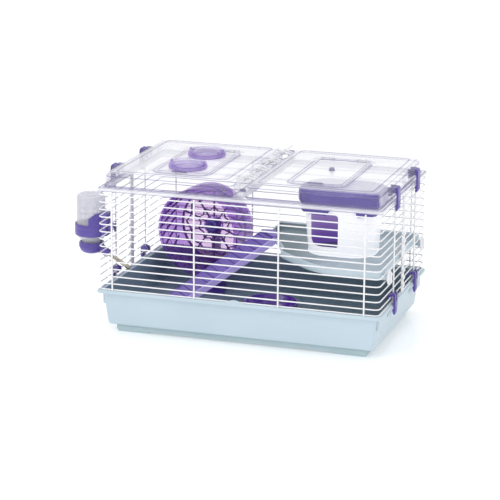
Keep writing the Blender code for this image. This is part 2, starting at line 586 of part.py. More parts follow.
def make_house():
    z0, z1 = HOUSE_Z0, HOUSE_Z1
    walls = loft("house_walls", [house_ring(0, z0, 0), house_ring(1, z1, 0), house_ring(1, z1, -2.2), house_ring(0, z0, -2.2)], closed=True)
    door = [(83, 198), (83, 156), (85, 149), (90, 145), (98, 143.2), (131, 143.2), (131, 192), (126, 198)]
    cut(walls, prism("doorway", door, lambda u, v, w: (u, -40 + w, v), 62))
    place(walls, "house_white", smooth=35)

    rings = [house_ring(1, 203.5, 4.4), house_ring(1, 211.0, 4.8), house_ring(1, 214.0, 8.6), house_ring(1, 231.0, 8.6), house_ring(1, 235.0, 5.0),
             house_ring(1, 237.0, -12.0), house_ring(1, 237.6, -30.0), house_ring(1, 235.4, -30.0), house_ring(1, 234.8, -13.0), house_ring(1, 232.8, 3.0),
             house_ring(1, 230.0, 6.4), house_ring(1, 215.6, 6.4), house_ring(1, 212.8, 2.8), house_ring(1, 203.5, 2.4)]
    # a cup turned over, as the lids are
    n, last, crown = len(rings[0]), len(rings) - 1, 6
    verts = [p for ring in rings for p in ring]
    faces = []
    for i in list(range(crown)) + list(range(crown + 1, last)):
        for j in range(n):
            k = (j + 1) % n
            faces.append((i * n + j, i * n + k, (i + 1) * n + k, (i + 1) * n + j))
    for j in range(n):
        k = (j + 1) % n
        faces.append((j, k, last * n + k, last * n + j))
    faces.append(tuple(range(crown * n, (crown + 1) * n)))
    faces.append(tuple(range((crown + 1) * n, (crown + 2) * n)))
    roof = mesh_object("house_roof", verts, faces)
    # the skirt's lower edge is scalloped: a wide notch in each of its four sides
    side = [(118, 200), (160, 200), (157, 209.2), (130, 209.2)]
    end = [(8, 200), (52, 200), (46, 209.2), (14, 209.2)]
    cut(roof, prism("notch", side, lambda u, v, w: (u, -60 + w, v), 180), prism("notch", end, lambda u, v, w: (40 + w, u, v), 180))
    place(roof, "purple", origin=(HOUSE_TOP[0], HOUSE_TOP[1], 222.3), smooth=35)


def make_bowl():
    prof = [(0, 17.8), (0.80, 17.8), (0.84, 19.5), (0.93, 33.0), (1.0, 41.5), (1.0, BOWL_Z1), (0.93, BOWL_Z1), (0.88, 41.0), (0.76, 24.0), (0.66, 21.0), (0, 20.4)]
    prof = [(r * BOWL_R[0], h) for r, h in prof]
    bowl = turned("food_bowl", prof, Vector((BOWL_C[0], BOWL_C[1], 0)), Vector((0, 0, 1)), 28, scale=(1.0, BOWL_R[1] / BOWL_R[0]))
    place(bowl, "bowl_purple", origin=(BOWL_C[0], BOWL_C[1], 17.8), smooth=40)


# ------------------------------------------------------------------ exercise wheel
def wheel_at(x, y, z):
    """From the wheel's own frame (axis along +y from the open front) to the cage's."""
    p = Matrix.Rotation(WHEEL_TURN, 3, "Z") @ Vector((x, y, z))
    return WHEEL_C + p


def make_wheel():
    o, ax = wheel_at(0, 0, 0), (wheel_at(0, 1, 0) - wheel_at(0, 0, 0))
    r, dpt = WHEEL_R, WHEEL_D
    prof = [(4.4, dpt - 9), (15, dpt - 9), (17, dpt - 2.4), (60, dpt - 2.4), (61, dpt - 3.6), (63, dpt - 3.6), (64, dpt - 2.4), (r - 2, dpt - 2.4), (r - 2, 2.2), (r - 7, 2.2), (r - 7, 0), (r, 0), (r, dpt), (13, dpt), (4.4, dpt)]
    drum = turned("wheel_drum", prof, o, ax, 40, closed=True)
    place(drum, "purple_clear", origin=tuple(o), smooth=40)
    axle = turned("wheel_axle", [(0, dpt - 15), (4.0, dpt - 15), (4.0, dpt + 2.7), (7.0, dpt + 2.7), (7.0, dpt + 4.2), (0, dpt + 4.2)], o, ax, 16)
    place(axle, "purple", origin=tuple(o), smooth=40)
    cap = turned("wheel_hub_cap", [(4.4, dpt - 13.6), (9.0, dpt - 14.4), (11.5, dpt - 12.4), (12, dpt - 9.4), (4.4, dpt - 9.4)], o, ax, 20, closed=True)
    place(cap, "purple", origin=tuple(o), smooth=40)
    # stand: an upright behind the drum on a foot plate that reaches under it
    zf = TRAY_FLOOR_Z + 0.3 - WHEEL_C.z
    y0, y1 = dpt + 4.5, dpt + 8.0
    post = [(-14, zf + 2), (14, zf + 2), (8.5, -20), (8.5, 6), (6, 10.4), (0, 12), (-6, 10.4), (-8.5, 6), (-8.5, -20)]
    stand = loft("wheel_stand", [[wheel_at(x, y0, z) for x, z in post], [wheel_at(x, y1, z) for x, z in post]])
    foot = [(-46, 12), (-38, 4), (38, 4), (46, 12), (22, y1 - 4), (12, y1 - 0.3), (-12, y1 - 0.3), (-22, y1 - 4)]
    union(stand, loft("foot", [[wheel_at(x, y, zf) for x, y in foot], [wheel_at(x, y, zf + 3.6) for x, y in foot]]))
    place(stand, "purple", smooth=35)


# ------------------------------------------------------------------ water bottle
def make_bottle():
    c, up = Vector((BOTTLE_X, BOTTLE_Y, 0)), Vector((0, 0, 1))
    prof = [(0, 217.4), (9, 217.4), (13, 219.4), (17.5, 220.0), (22, 218.6), (24, 214.5), (24, 153.0), (22.6, 147.5), (18.4, 141.5), (16.4, 140.0), (16.4, 128.0),
            (14.9, 128.0), (14.9, 140.4), (17.2, 142.6), (21.3, 148.2), (22.7, 153.4), (22.7, 214.0), (21.2, 217.2), (17.3, 218.6), (13.4, 218.0), (9.6, 216.0), (0, 216.0)]
    place(turned("water_bottle", prof, c, up, 28), "clear", origin=(BOTTLE_X, BOTTLE_Y, 140), smooth=40)

    t = Vector((math.cos(TUBE_ANGLE), 0, -math.sin(TUBE_ANGLE)))
    cap = turned("bottle_cap", [(0, 120.6), (13, 120.6), (18.4, 122.6), (20.0, 126.5), (20.4, 138.4), (17.2, 138.4), (17.0, 123.9), (0, 123.9)], c, up, 28)
    e0 = TUBE_AT - t * 24.5
    e1 = TUBE_AT - t * 5.4
    elbow = rod("elbow", e0, e1, 8.6, 16, 6.2)
    union(cap, elbow)
    # the cap's bore is cut again, so that the elbow leaves room for the neck, and then the tube's socket
    cut(cap, turned("bore", [(0, 123.9), (17.0, 123.9), (17.2, 145), (0, 145)], c, up, 28), rod("socket", e1 - t * 9, e1 + t * 4, TUBE_R + 0.3, 12))
    place(cap, "purple", smooth=35)
    seal = turned("bottle_seal", [(9.0, 124.3), (16.2, 124.3), (16.2, 127.6), (9.0, 127.6)], c, up, 20, closed=True)
    place(seal, "rubber", smooth=40)
    a, b = e1 - t * 8.6, TUBE_AT + t * 36.6
    L = (b - a).length
    tube = turned("drink_tube", [(2.2, 0), (TUBE_R, 0), (TUBE_R, L - 3.0), (TUBE_R - 0.3, L - 0.8), (3.1, L), (2.9, L - 0.2), (2.9, L - 5.2), (2.2, L - 5.8)], a, t, 16, closed=True)
    place(tube, "steel", smooth=40)
    ball_at = b - t * 1.2
    ball = turned("tube_ball", [(0, -2.6)] + [(2.6 * math.sin(math.pi * i / 8), -2.6 * math.cos(math.pi * i / 8)) for i in range(1, 8)] + [(0, 2.6)], ball_at, t, 14)
    place(ball, "steel", origin=tuple(ball_at), smooth=60)

    ring = turned("bottle_holder", [(24.6, 150.6), (26.4, 150.6), (27.2, 153.0), (27.4, 170.4), (24.6, 170.4)], c, up, 28, closed=True)
    arc = []
    for z in (168.0, 191.2):
        pts = []
        for rad, rev in ((23.5, False), (27.2, True)):
            angs = [math.radians(-78 + 156 * i / 12) for i in range(13)]
            for a2 in (reversed(angs) if rev else angs):
                pts.append((BOTTLE_X + rad * math.cos(a2), BOTTLE_Y + rad * math.sin(a2), z - (7.0 if z > 180 and abs(a2) > 1.0 else 0.0)))
        arc.append(pts)
    tall = loft("tall", arc)
    pad = box("pad", (-249.0, BOTTLE_Y - 15, 152.0), (-239.3, BOTTLE_Y + 15, 189.5))
    parts = [tall, pad]
    for y in (-11.0, 5.0):
        parts.append(box("tongue", (-240.0, BOTTLE_Y + y, 162.2), (-231.4, BOTTLE_Y + y + 6, 169.6)))
        parts.append(box("hook", (-233.4, BOTTLE_Y + y, 156.0), (-231.4, BOTTLE_Y + y + 6, 169.6)))
    union(ring, *parts)
    cut(ring, turned("bore", [(0, 140), (24.6, 140), (24.6, 210), (0, 210)], c, up, 28))
    place(ring, "purple", smooth=35)


make_tray()
lattice("wire_front", 1)
lattice("wire_back", -1)
make_seams()
make_frame()
make_bridge()
LEFT, RIGHT = hinge_slots()
make_lid("lid_left", -1, HATCH_XL, LEFT)
make_lid("lid_right", 1, HATCH_XR, RIGHT)
make_hatch("hatch_left", HATCH_XL, (PORT_YF, PORT_YB))
make_hatch("hatch_right", HATCH_XR, ())
place(turned("hatch_knob", [(0, 271.1), (5.6, 271.1), (5.6, 272.4), (4.2, 273.4), (4.6, 275.2), (3.6, 276.0), (0, 276.0)],
             Vector((HATCH_XR, -12, 0)), Vector((0, 0, 1)), 16), "clear", origin=(HATCH_XR, -12, 271.1), smooth=40)
make_ports()
make_lid_clips()
make_tray_clips()
make_shelf()
make_ramp()
make_house()
make_bowl()
make_wheel()
make_bottle()
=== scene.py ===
"""Looks for the small-pet cage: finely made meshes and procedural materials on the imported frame."""
import json
import math

import bmesh
import bpy
from mathutils import Matrix, Vector


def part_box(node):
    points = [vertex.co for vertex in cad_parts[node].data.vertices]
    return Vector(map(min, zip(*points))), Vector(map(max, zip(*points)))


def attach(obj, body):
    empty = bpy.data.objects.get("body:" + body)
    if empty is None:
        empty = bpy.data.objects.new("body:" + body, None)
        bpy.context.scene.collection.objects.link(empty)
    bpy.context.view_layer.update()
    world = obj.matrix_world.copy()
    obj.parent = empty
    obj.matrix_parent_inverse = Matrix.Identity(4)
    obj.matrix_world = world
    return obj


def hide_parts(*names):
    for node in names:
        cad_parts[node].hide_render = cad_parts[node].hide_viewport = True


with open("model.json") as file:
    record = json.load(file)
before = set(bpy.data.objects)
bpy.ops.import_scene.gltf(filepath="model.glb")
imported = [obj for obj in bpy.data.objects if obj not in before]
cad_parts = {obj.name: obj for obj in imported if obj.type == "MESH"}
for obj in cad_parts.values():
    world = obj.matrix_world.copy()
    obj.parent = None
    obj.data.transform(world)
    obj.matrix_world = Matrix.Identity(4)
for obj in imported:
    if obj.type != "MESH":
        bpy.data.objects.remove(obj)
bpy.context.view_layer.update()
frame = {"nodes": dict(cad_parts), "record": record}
_lo, _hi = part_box("tray")
OX = (_lo.x + _hi.x) * 500.0          # the cage's centre plane, in mm: everything below is in mm from it


# ================================================================== materials
def nodes_of(name):
    m = bpy.data.materials.new(name)
    m.use_nodes = True
    nt = m.node_tree
    return m, nt, nt.nodes, nt.links, nt.nodes["Principled BSDF"]


def noise(nt, scale, detail=3.0, rough=0.55, coord="Object"):
    tc = nt.nodes.new("ShaderNodeTexCoord")
    n = nt.nodes.new("ShaderNodeTexNoise")
    n.inputs["Scale"].default_value = scale
    n.inputs["Detail"].default_value = detail
    n.inputs["Roughness"].default_value = rough
    nt.links.new(tc.outputs[coord], n.inputs["Vector"])
    return n


def ramp(nt, src, stops):
    r = nt.nodes.new("ShaderNodeValToRGB")
    e = r.color_ramp.elements
    while len(e) < len(stops):
        e.new(0.5)
    for el, (p, c) in zip(e, stops):
        el.position = p
        el.color = (*c, 1.0) if len(c) == 3 else c
    nt.links.new(src, r.inputs["Fac"])
    return r


def map_range(nt, src, a, b, c, d):
    m = nt.nodes.new("ShaderNodeMapRange")
    for k, v in (("From Min", a), ("From Max", b), ("To Min", c), ("To Max", d)):
        m.inputs[k].default_value = v
    nt.links.new(src, m.inputs["Value"])
    return m


def bump(nt, bsdf, height, strength, distance):
    b = nt.nodes.new("ShaderNodeBump")
    b.inputs["Strength"].default_value = strength
    b.inputs["Distance"].default_value = distance
    nt.links.new(height, b.inputs["Height"])
    nt.links.new(b.outputs["Normal"], bsdf.inputs["Normal"])
    return b


def plastic(name, dark, light, rough=0.4, spread=0.10, grain=900.0, grain_h=0.00012, blotch=9.0, coat=0.0, metal=0.0, sub=0.0, spec=0.5):
    """Moulded plastic: faint cloudy colour, fine grain, uneven gloss."""
    m, nt, nd, ln, s = nodes_of(name)
    n1 = noise(nt, blotch, 4.0)
    c = ramp(nt, n1.outputs["Fac"], [(0.30, dark), (0.70, light)])
    ln.new(c.outputs["Color"], s.inputs["Base Color"])
    n2 = noise(nt, 55.0, 5.0, 0.65)
    r = map_range(nt, n2.outputs["Fac"], 0.3, 0.7, rough - spread / 2, rough + spread / 2)
    ln.new(r.outputs["Result"], s.inputs["Roughness"])
    n3 = noise(nt, grain, 2.0)
    bump(nt, s, n3.outputs["Fac"], 0.35, grain_h)
    s.inputs["Metallic"].default_value = metal
    s.inputs["Specular IOR Level"].default_value = spec
    if coat:
        s.inputs["Coat Weight"].default_value = coat
        s.inputs["Coat Roughness"].default_value = 0.12
    if sub:
        s.inputs["Subsurface Weight"].default_value = sub
        s.inputs["Subsurface Radius"].default_value = (0.004, 0.003, 0.005)
        s.inputs["Subsurface Scale"].default_value = 1.0
    return m


def clear(name, face, edge, a_face, a_mid, a_edge, rough=0.07, grain=260.0, ripple=0.00010, power=0.5):
    """Clear moulded plastic: thin to look straight through, milky and shiny at a slant."""
    m, nt, nd, ln, s = nodes_of(name)
    lw = nd.new("ShaderNodeLayerWeight")
    lw.inputs["Blend"].default_value = power
    n1 = noise(nt, 14.0, 3.0)
    c = ramp(nt, lw.outputs["Facing"], [(0.0, face), (0.55, face), (1.0, edge)])
    mix = nd.new("ShaderNodeMix")
    mix.data_type = "RGBA"
    mix.blend_type = "MULTIPLY"
    mix.inputs["Factor"].default_value = 1.0
    c2 = ramp(nt, n1.outputs["Fac"], [(0.3, (0.93, 0.93, 0.96)), (0.7, (1.0, 1.0, 1.0))])
    ln.new(c.outputs["Color"], mix.inputs["A"])
    ln.new(c2.outputs["Color"], mix.inputs["B"])
    ln.new(mix.outputs["Result"], s.inputs["Base Color"])
    a = ramp(nt, lw.outputs["Facing"], [(0.0, (a_face,) * 3), (0.62, (a_mid,) * 3), (0.97, (a_edge,) * 3)])
    ln.new(a.outputs["Color"], s.inputs["Alpha"])
    s.inputs["Roughness"].default_value = rough
    s.inputs["IOR"].default_value = 1.49
    s.inputs["Coat Weight"].default_value = 0.6
    s.inputs["Coat Roughness"].default_value = 0.04
    n3 = noise(nt, grain, 2.0)
    bump(nt, s, n3.outputs["Fac"], 0.3, ripple)
    return m


def tinted(name, tint, face, edge, f_face, f_mid, f_edge, rough=0.12, grain=260.0, ripple=0.0001):
    """Coloured see-through plastic: filters what lies behind it and turns solid at a slant."""
    m, nt, nd, ln, s = nodes_of(name)
    out = nd["Material Output"]
    tr = nd.new("ShaderNodeBsdfTransparent")
    tr.inputs["Color"].default_value = (*tint, 1.0)
    lw = nd.new("ShaderNodeLayerWeight")
    lw.inputs["Blend"].default_value = 0.5
    f = ramp(nt, lw.outputs["Facing"], [(0.0, (f_face,) * 3), (0.40, (f_face * 1.2,) * 3), (0.70, (f_mid,) * 3), (0.97, (f_edge,) * 3)])
    n1 = noise(nt, 16.0, 3.0)
    c = ramp(nt, n1.outputs["Fac"], [(0.3, face), (0.7, edge)])
    ln.new(c.outputs["Color"], s.inputs["Base Color"])
    n2 = noise(nt, 60.0, 4.0)
    r = map_range(nt, n2.outputs["Fac"], 0.3, 0.7, rough * 0.7, rough * 1.3)
    ln.new(r.outputs["Result"], s.inputs["Roughness"])
    s.inputs["IOR"].default_value = 1.49
    s.inputs["Coat Weight"].default_value = 0.3
    s.inputs["Coat Roughness"].default_value = 0.05
    n3 = noise(nt, grain, 2.0)
    bump(nt, s, n3.outputs["Fac"], 0.3, ripple)
    mx = nd.new("ShaderNodeMixShader")
    ln.new(f.outputs["Color"], mx.inputs["Fac"])
    ln.new(tr.outputs["BSDF"], mx.inputs[1])
    ln.new(s.outputs["BSDF"], mx.inputs[2])
    ln.new(mx.outputs["Shader"], out.inputs["Surface"])
    return m


def painted_glow(mat, colour, strength):
    """Painted light: an emission glow that brightens pale plastic, which is no lamp."""
    s = mat.node_tree.nodes["Principled BSDF"]
    s.inputs["Emission Color"].default_value = (*colour, 1.0)
    s.inputs["Emission Strength"].default_value = strength
    return mat


MAT = {}
MAT["tray_blue"] = plastic("tray_blue", (0.49, 0.605, 0.675), (0.535, 0.650, 0.720), 0.38, 0.10, 700, 0.00010, 6.0, coat=0.15)
# painted shade: the tray's inner walls and floor take this darker copy of the tray blue
MAT["tray_inside"] = plastic("tray_inside", (0.175, 0.250, 0.310), (0.225, 0.310, 0.375), 0.50, 0.16, 900, 0.00012, 12.0)
MAT["tray_plinth"] = plastic("tray_plinth", (0.42, 0.54, 0.58), (0.47, 0.59, 0.63), 0.5, 0.10, 900, 0.00012, 10.0)
MAT["wire_white"] = plastic("wire_white", (0.86, 0.86, 0.87), (0.93, 0.93, 0.94), 0.28, 0.12, 500, 0.00008, 40.0, coat=0.3)
MAT["purple"] = plastic("purple", (0.082, 0.052, 0.300), (0.115, 0.075, 0.375), 0.34, 0.14, 800, 0.00010, 25.0, coat=0.25)
MAT["ramp_purple"] = plastic("ramp_purple", (0.175, 0.125, 0.440), (0.215, 0.155, 0.500), 0.42, 0.14, 900, 0.00012, 18.0)
# painted light: ramp_rail is a lighter copy of the ramp purple with an emission glow, for the right rail's lit side
MAT["ramp_rail"] = painted_glow(plastic("ramp_rail", (0.44, 0.36, 0.74), (0.50, 0.42, 0.80), 0.40, 0.14, 900, 0.00012, 18.0), (0.46, 0.38, 0.78), 0.16)
MAT["ramp_groove"] = plastic("ramp_groove", (0.085, 0.050, 0.270), (0.11, 0.07, 0.32), 0.45, 0.14, 900, 0.00012, 18.0)
MAT["bowl_purple"] = plastic("bowl_purple", (0.085, 0.020, 0.330), (0.115, 0.035, 0.400), 0.20, 0.10, 500, 0.00006, 18.0, coat=0.5)
# painted light: an emission glow keeps the house's white walls bright under the lid and roof
MAT["house_white"] = painted_glow(plastic("house_white", (0.90, 0.895, 0.915), (0.95, 0.948, 0.96), 0.32, 0.10, 700, 0.00008, 8.0, coat=0.2), (0.97, 0.965, 1.0), 0.27)
MAT["lock_white"] = plastic("lock_white", (0.80, 0.80, 0.83), (0.88, 0.88, 0.90), 0.35, 0.12, 700, 0.00010, 30.0)
MAT["rubber"] = plastic("rubber", (0.30, 0.30, 0.31), (0.36, 0.36, 0.37), 0.8, 0.1, 900, 0.0002, 30.0, spec=0.3)
MAT["shelf_grey"] = plastic("shelf_grey", (0.54, 0.65, 0.71), (0.60, 0.70, 0.76), 0.42, 0.12, 900, 0.00012, 9.0)
MAT["steel"] = plastic("steel", (0.36, 0.33, 0.26), (0.56, 0.53, 0.46), 0.22, 0.16, 400, 0.00006, 60.0, metal=1.0)
MAT["clear"] = tinted("clear", (0.972, 0.970, 0.982), (0.90, 0.895, 0.935), (0.96, 0.96, 0.98), 0.025, 0.34, 0.66, 0.06, ripple=0.00005)
# painted refraction: clear_edge is a darker clear laid in narrow strips along edges and fillets of lid, rail and hatch,
# for the lines clear plastic shows there
MAT["clear_edge"] = tinted("clear_edge", (0.70, 0.69, 0.80), (0.30, 0.28, 0.42), (0.40, 0.38, 0.52), 0.36, 0.50, 0.82, 0.06, ripple=0.00005)
MAT["frame_clear"] = tinted("frame_clear", (0.95, 0.95, 0.97), (0.94, 0.94, 0.965), (0.98, 0.98, 0.99), 0.52, 0.68, 0.88, 0.08, ripple=0.00005)
MAT["hatch_clear"] = tinted("hatch_clear", (0.985, 0.984, 0.992), (0.93, 0.928, 0.955), (0.97, 0.97, 0.985), 0.03, 0.44, 0.66, 0.06, ripple=0.00005)
MAT["dome_clear"] = tinted("dome_clear", (0.94, 0.93, 0.975), (0.74, 0.72, 0.86), (0.86, 0.85, 0.94), 0.10, 0.30, 0.85, 0.04, ripple=0.00004)
MAT["ring_clear"] = tinted("ring_clear", (0.92, 0.88, 0.97), (0.52, 0.44, 0.74), (0.66, 0.58, 0.84), 0.12, 0.28, 0.72, 0.06, ripple=0.00004)
MAT["bottle_clear"] = tinted("bottle_clear", (0.95, 0.95, 0.965), (0.74, 0.74, 0.80), (0.80, 0.80, 0.86), 0.30, 0.40, 0.72, 0.10, ripple=0.00005)
MAT["purple_clear"] = tinted("purple_clear", (0.84, 0.78, 0.93), (0.24, 0.15, 0.52), (0.32, 0.22, 0.60), 0.10, 0.24, 0.72)
MAT["wheel_shell"] = tinted("wheel_shell", (0.76, 0.60, 0.90), (0.30, 0.16, 0.58), (0.36, 0.21, 0.64), 0.22, 0.34, 0.62)
MAT["wheel_film"] = tinted("wheel_film", (0.93, 0.82, 0.95), (0.74, 0.52, 0.80), (0.80, 0.60, 0.86), 0.22, 0.32, 0.60)
MAT["wheel_web"] = plastic("wheel_web", (0.105, 0.022, 0.27), (0.145, 0.036, 0.33), 0.3, 0.1, 600, 0.0001, 30.0, coat=0.2)


def floor_texture():
    """The shelf's floor: small moulded squares, mottled, with painted shade: darker than the shelf's rim, and darker
    still on its left part.
    """
    m, nt, nd, ln, s = nodes_of("shelf_floor")
    n1 = noise(nt, 22.0, 5.0, 0.6)
    # the dark colour is the floor in painted shade, the light colour the floor in painted light
    c = ramp(nt, n1.outputs["Fac"], [(0.28, (0.165, 0.220, 0.240)), (0.72, (0.245, 0.310, 0.335))])
    c2 = ramp(nt, n1.outputs["Fac"], [(0.28, (0.400, 0.485, 0.530)), (0.72, (0.470, 0.560, 0.610))])
    geo = nd.new("ShaderNodeNewGeometry")
    sep = nd.new("ShaderNodeSeparateXYZ")
    ln.new(geo.outputs["Position"], sep.inputs["Vector"])
    # painted shade on the left, painted light on the right, blended along X
    painted_shade_ramp = map_range(nt, sep.outputs["X"], 0.068, 0.150, 0.0, 1.0)
    both = nd.new("ShaderNodeMix")
    both.data_type = "RGBA"
    ln.new(painted_shade_ramp.outputs["Result"], both.inputs["Factor"])
    ln.new(c.outputs["Color"], both.inputs["A"])
    ln.new(c2.outputs["Color"], both.inputs["B"])
    ln.new(both.outputs["Result"], s.inputs["Base Color"])
    tc = nd.new("ShaderNodeTexCoord")
    br = nd.new("ShaderNodeTexBrick")
    br.offset = 0.0
    br.inputs["Scale"].default_value = 1.0
    br.inputs["Brick Width"].default_value = 0.0042
    br.inputs["Row Height"].default_value = 0.0042
    br.inputs["Mortar Size"].default_value = 0.0006
    br.inputs["Mortar Smooth"].default_value = 0.4
    br.inputs["Color1"].default_value = (1, 1, 1, 1)
    br.inputs["Color2"].default_value = (1, 1, 1, 1)
    br.inputs["Mortar"].default_value = (0, 0, 0, 1)
    ln.new(tc.outputs["Object"], br.inputs["Vector"])
    bump(nt, s, br.outputs["Color"], 0.6, 0.0006)
    s.inputs["Roughness"].default_value = 0.5
    return m


def inside_purple():
    """The house's inner walls: painted light and painted shade, a purple glow lighter towards the roof and darker
    towards the floor.
    """
    m, nt, nd, ln, s = nodes_of("house_inside")
    g = nd.new("ShaderNodeNewGeometry")
    sep = nd.new("ShaderNodeSeparateXYZ")
    ln.new(g.outputs["Position"], sep.inputs["Vector"])
    # painted shade towards the floor, painted light towards the roof
    r = map_range(nt, sep.outputs["Z"], 0.140, 0.200, 0.0, 1.0)
    c = ramp(nt, r.outputs["Result"], [(0.0, (0.13, 0.070, 0.30)), (0.28, (0.21, 0.135, 0.36)), (1.0, (0.40, 0.32, 0.52))])
    ln.new(c.outputs["Color"], s.inputs["Base Color"])
    # painted light: the same colour glows as emission
    ln.new(c.outputs["Color"], s.inputs["Emission Color"])
    s.inputs["Emission Strength"].default_value = 0.62
    s.inputs["Roughness"].default_value = 0.45
    n3 = noise(nt, 700.0, 2.0)
    bump(nt, s, n3.outputs["Fac"], 0.3, 0.0001)
    return m


MAT["shelf_floor"] = floor_texture()
MAT["house_inside"] = inside_purple()


# ================================================================== mesh helpers
class Piece:
    """Collects closed shapes into one mesh; points are in mm from the cage's centre plane."""

    def __init__(self):
        self.v, self.f, self.m = [], [], []

    def add(self, verts, faces, mat=0):
        b = len(self.v)
        self.v += [Vector(p) for p in verts]
        self.f += [tuple(i + b for i in f) for f in faces]
        self.m += mat if isinstance(mat, list) else [mat] * len(faces)
        return self

    def make(self, name, body, mats, stands_for=(), smooth=35, bevel=0.0, segs=2, flip=True):
        me = bpy.data.meshes.new(name)
        bm = bmesh.new()
        vs = [bm.verts.new(((p.x + OX) * 0.001, p.y * 0.001, p.z * 0.001)) for p in self.v]
        for f, k in zip(self.f, self.m):
            try:
                bf = bm.faces.new([vs[i] for i in f])
                bf.material_index = k
            except ValueError:
                pass
        if flip:
            bmesh.ops.recalc_face_normals(bm, faces=bm.faces)
        bm.to_mesh(me)
        bm.free()
        for k in mats:
            me.materials.append(MAT[k])
        for p in me.polygons:
            p.use_smooth = True
        me.set_sharp_from_angle(angle=math.radians(smooth))
        ob = bpy.data.objects.new(name, me)
        bpy.context.scene.collection.objects.link(ob)
        if bevel:
            md = ob.modifiers.new("edge", "BEVEL")
            md.width = bevel * 0.001
            md.segments = segs
            md.limit_method = "ANGLE"
            md.angle_limit = math.radians(32)
            md.harden_normals = False
        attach(ob, body)
        if stands_for:
            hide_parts(*stands_for)
        return ob


SLOT = {}
for _sp in frame["record"].get("subparts", []):
    SLOT[_sp["node"]] = _sp["material_slot"]


def rrect(hx, hy, r, z, cx=0.0, cy=0.0, n=8):
    out = []
    for sx, sy, a0 in ((1, 1, 0), (-1, 1, 90), (-1, -1, 180), (1, -1, 270)):
        for i in range(n + 1):
            a = math.radians(a0 + 90 * i / n)
            out.append((cx + sx * (hx - r) + r * math.cos(a), cy + sy * (hy - r) + r * math.sin(a), z))
    return out


def loft(P, rings, mat=0, closed=False, caps=(True, True), mats=None):
    n = len(rings[0])
    verts = [p for ring in rings for p in ring]
    faces, ms = [], []
    last = len(rings) if closed else len(rings) - 1
    for i in range(last):
        a, b = i * n, ((i + 1) % len(rings)) * n
        for j in range(n):
            k = (j + 1) % n
            faces.append((a + j, a + k, b + k, b + j))
            ms.append(mats[i] if mats else mat)
    if not closed:
        if caps[0]:
            faces.append(tuple(range(n)))
            ms.append(mats[0] if mats else mat)
        if caps[1]:
            faces.append(tuple(range((len(rings) - 1) * n, len(rings) * n)))
            ms.append(mats[-1] if mats else mat)
    P.add(verts, faces, ms)


def prism(P, outline, at, length, mat=0):
    loft(P, [[at(u, v, 0) for u, v in outline], [at(u, v, length) for u, v in outline]], mat)


def box(P, lo, hi, mat=0):
    (x0, y0, z0), (x1, y1, z1) = lo, hi
    loft(P, [[(x0, y0, z0), (x1, y0, z0), (x1, y1, z0), (x0, y1, z0)], [(x0, y0, z1), (x1, y0, z1), (x1, y1, z1), (x0, y1, z1)]], mat)


def frame_of(axis):
    axis = axis.normalized()
    u = axis.cross(Vector((0, 0, 1)))
    if u.length < 1e-3:
        u = Vector((1, 0, 0))
    u.normalize()
    return u, axis.cross(u)


def turned(P, profile, base, axis, segs=64, closed=False, scale=(1.0, 1.0), mat=0):
    axis = Vector(axis).normalized()
    base = Vector(base)
    u, v = frame_of(axis)
    verts, rings = [], []
    for r, h in profile:
        if r == 0:
            rings.append([len(verts)])
            verts.append(base + axis * h)
        else:
            ring = []
            for i in range(segs):
                a = 2 * math.pi * i / segs
                ring.append(len(verts))
                verts.append(base + axis * h + u * (r * scale[0] * math.cos(a)) + v * (r * scale[1] * math.sin(a)))
            rings.append(ring)
    faces = []
    pairs = list(zip(rings, rings[1:])) + ([(rings[-1], rings[0])] if closed else [])
    for a, b in pairs:
        for i in range(segs):
            k = (i + 1) % segs
            if len(a) == 1 and len(b) == 1:
                continue
            if len(a) == 1:
                faces.append((a[0], b[i], b[k]))
            elif len(b) == 1:
                faces.append((a[i], a[k], b[0]))
            else:
                faces.append((a[i], a[k], b[k], b[i]))
    P.add(verts, faces, mat)


def rod(P, a, b, r, segs=20, r2=None, mat=0, round_end=0.0):
    a, b = Vector(a), Vector(b)
    d = b - a
    r2 = r if r2 is None else r2
    e = round_end or min(r, r2) * 0.25
    L = d.length
    turned(P, [(0, 0), (r - e, 0), (r - e * 0.3, e * 0.3), (r, e), (r2, L - e), (r2 - e * 0.3, L - e * 0.3), (r2 - e, L), (0, L)], a, d, segs, mat=mat)


def tube(P, pts, r, segs=8, mat=0):
    """A round wire along a line of points."""
    pts = [Vector(p) for p in pts]
    tang = []
    for i, p in enumerate(pts):
        a = pts[max(0, i - 1)]
        b = pts[min(len(pts) - 1, i + 1)]
        tang.append((b - a).normalized())
    u = frame_of(tang[0])[0]
    rings = []
    for i, p in enumerate(pts):
        t = tang[i]
        u = (u - t * u.dot(t)).normalized()
        w = t.cross(u)
        rings.append([p + u * (r * math.cos(2 * math.pi * k / segs)) + w * (r * math.sin(2 * math.pi * k / segs)) for k in range(segs)])
    # a small dome at each end
    first = [[pts[0] + (q - pts[0]) * 0.55 - tang[0] * (r * 0.5) for q in rings[0]]]
    last = [[pts[-1] + (q - pts[-1]) * 0.55 + tang[-1] * (r * 0.5) for q in rings[-1]]]
    loft(P, first + rings + last, mat)


def fillet(points, radii, n=4):
    """Rounds each corner of an outline.  radii is a number or one for each corner."""
    out = []
    k = len(points)
    for i in range(k):
        p0, p1, p2 = (Vector(points[(i + j - 1) % k]) for j in range(3))
        r = radii[i] if isinstance(radii, (list, tuple)) else radii
        d0, d1 = (p0 - p1), (p2 - p1)
        d = min(r, d0.length * 0.49, d1.length * 0.49)
        if d <= 0.01:
            out.append(p1)
            continue
        a, b = p1 + d0.normalized() * d, p1 + d1.normalized() * d
        for s in range(n + 1):
            t = s / n
            out.append(a * (1 - t) ** 2 + p1 * (2 * t * (1 - t)) + b * t ** 2)
    return out


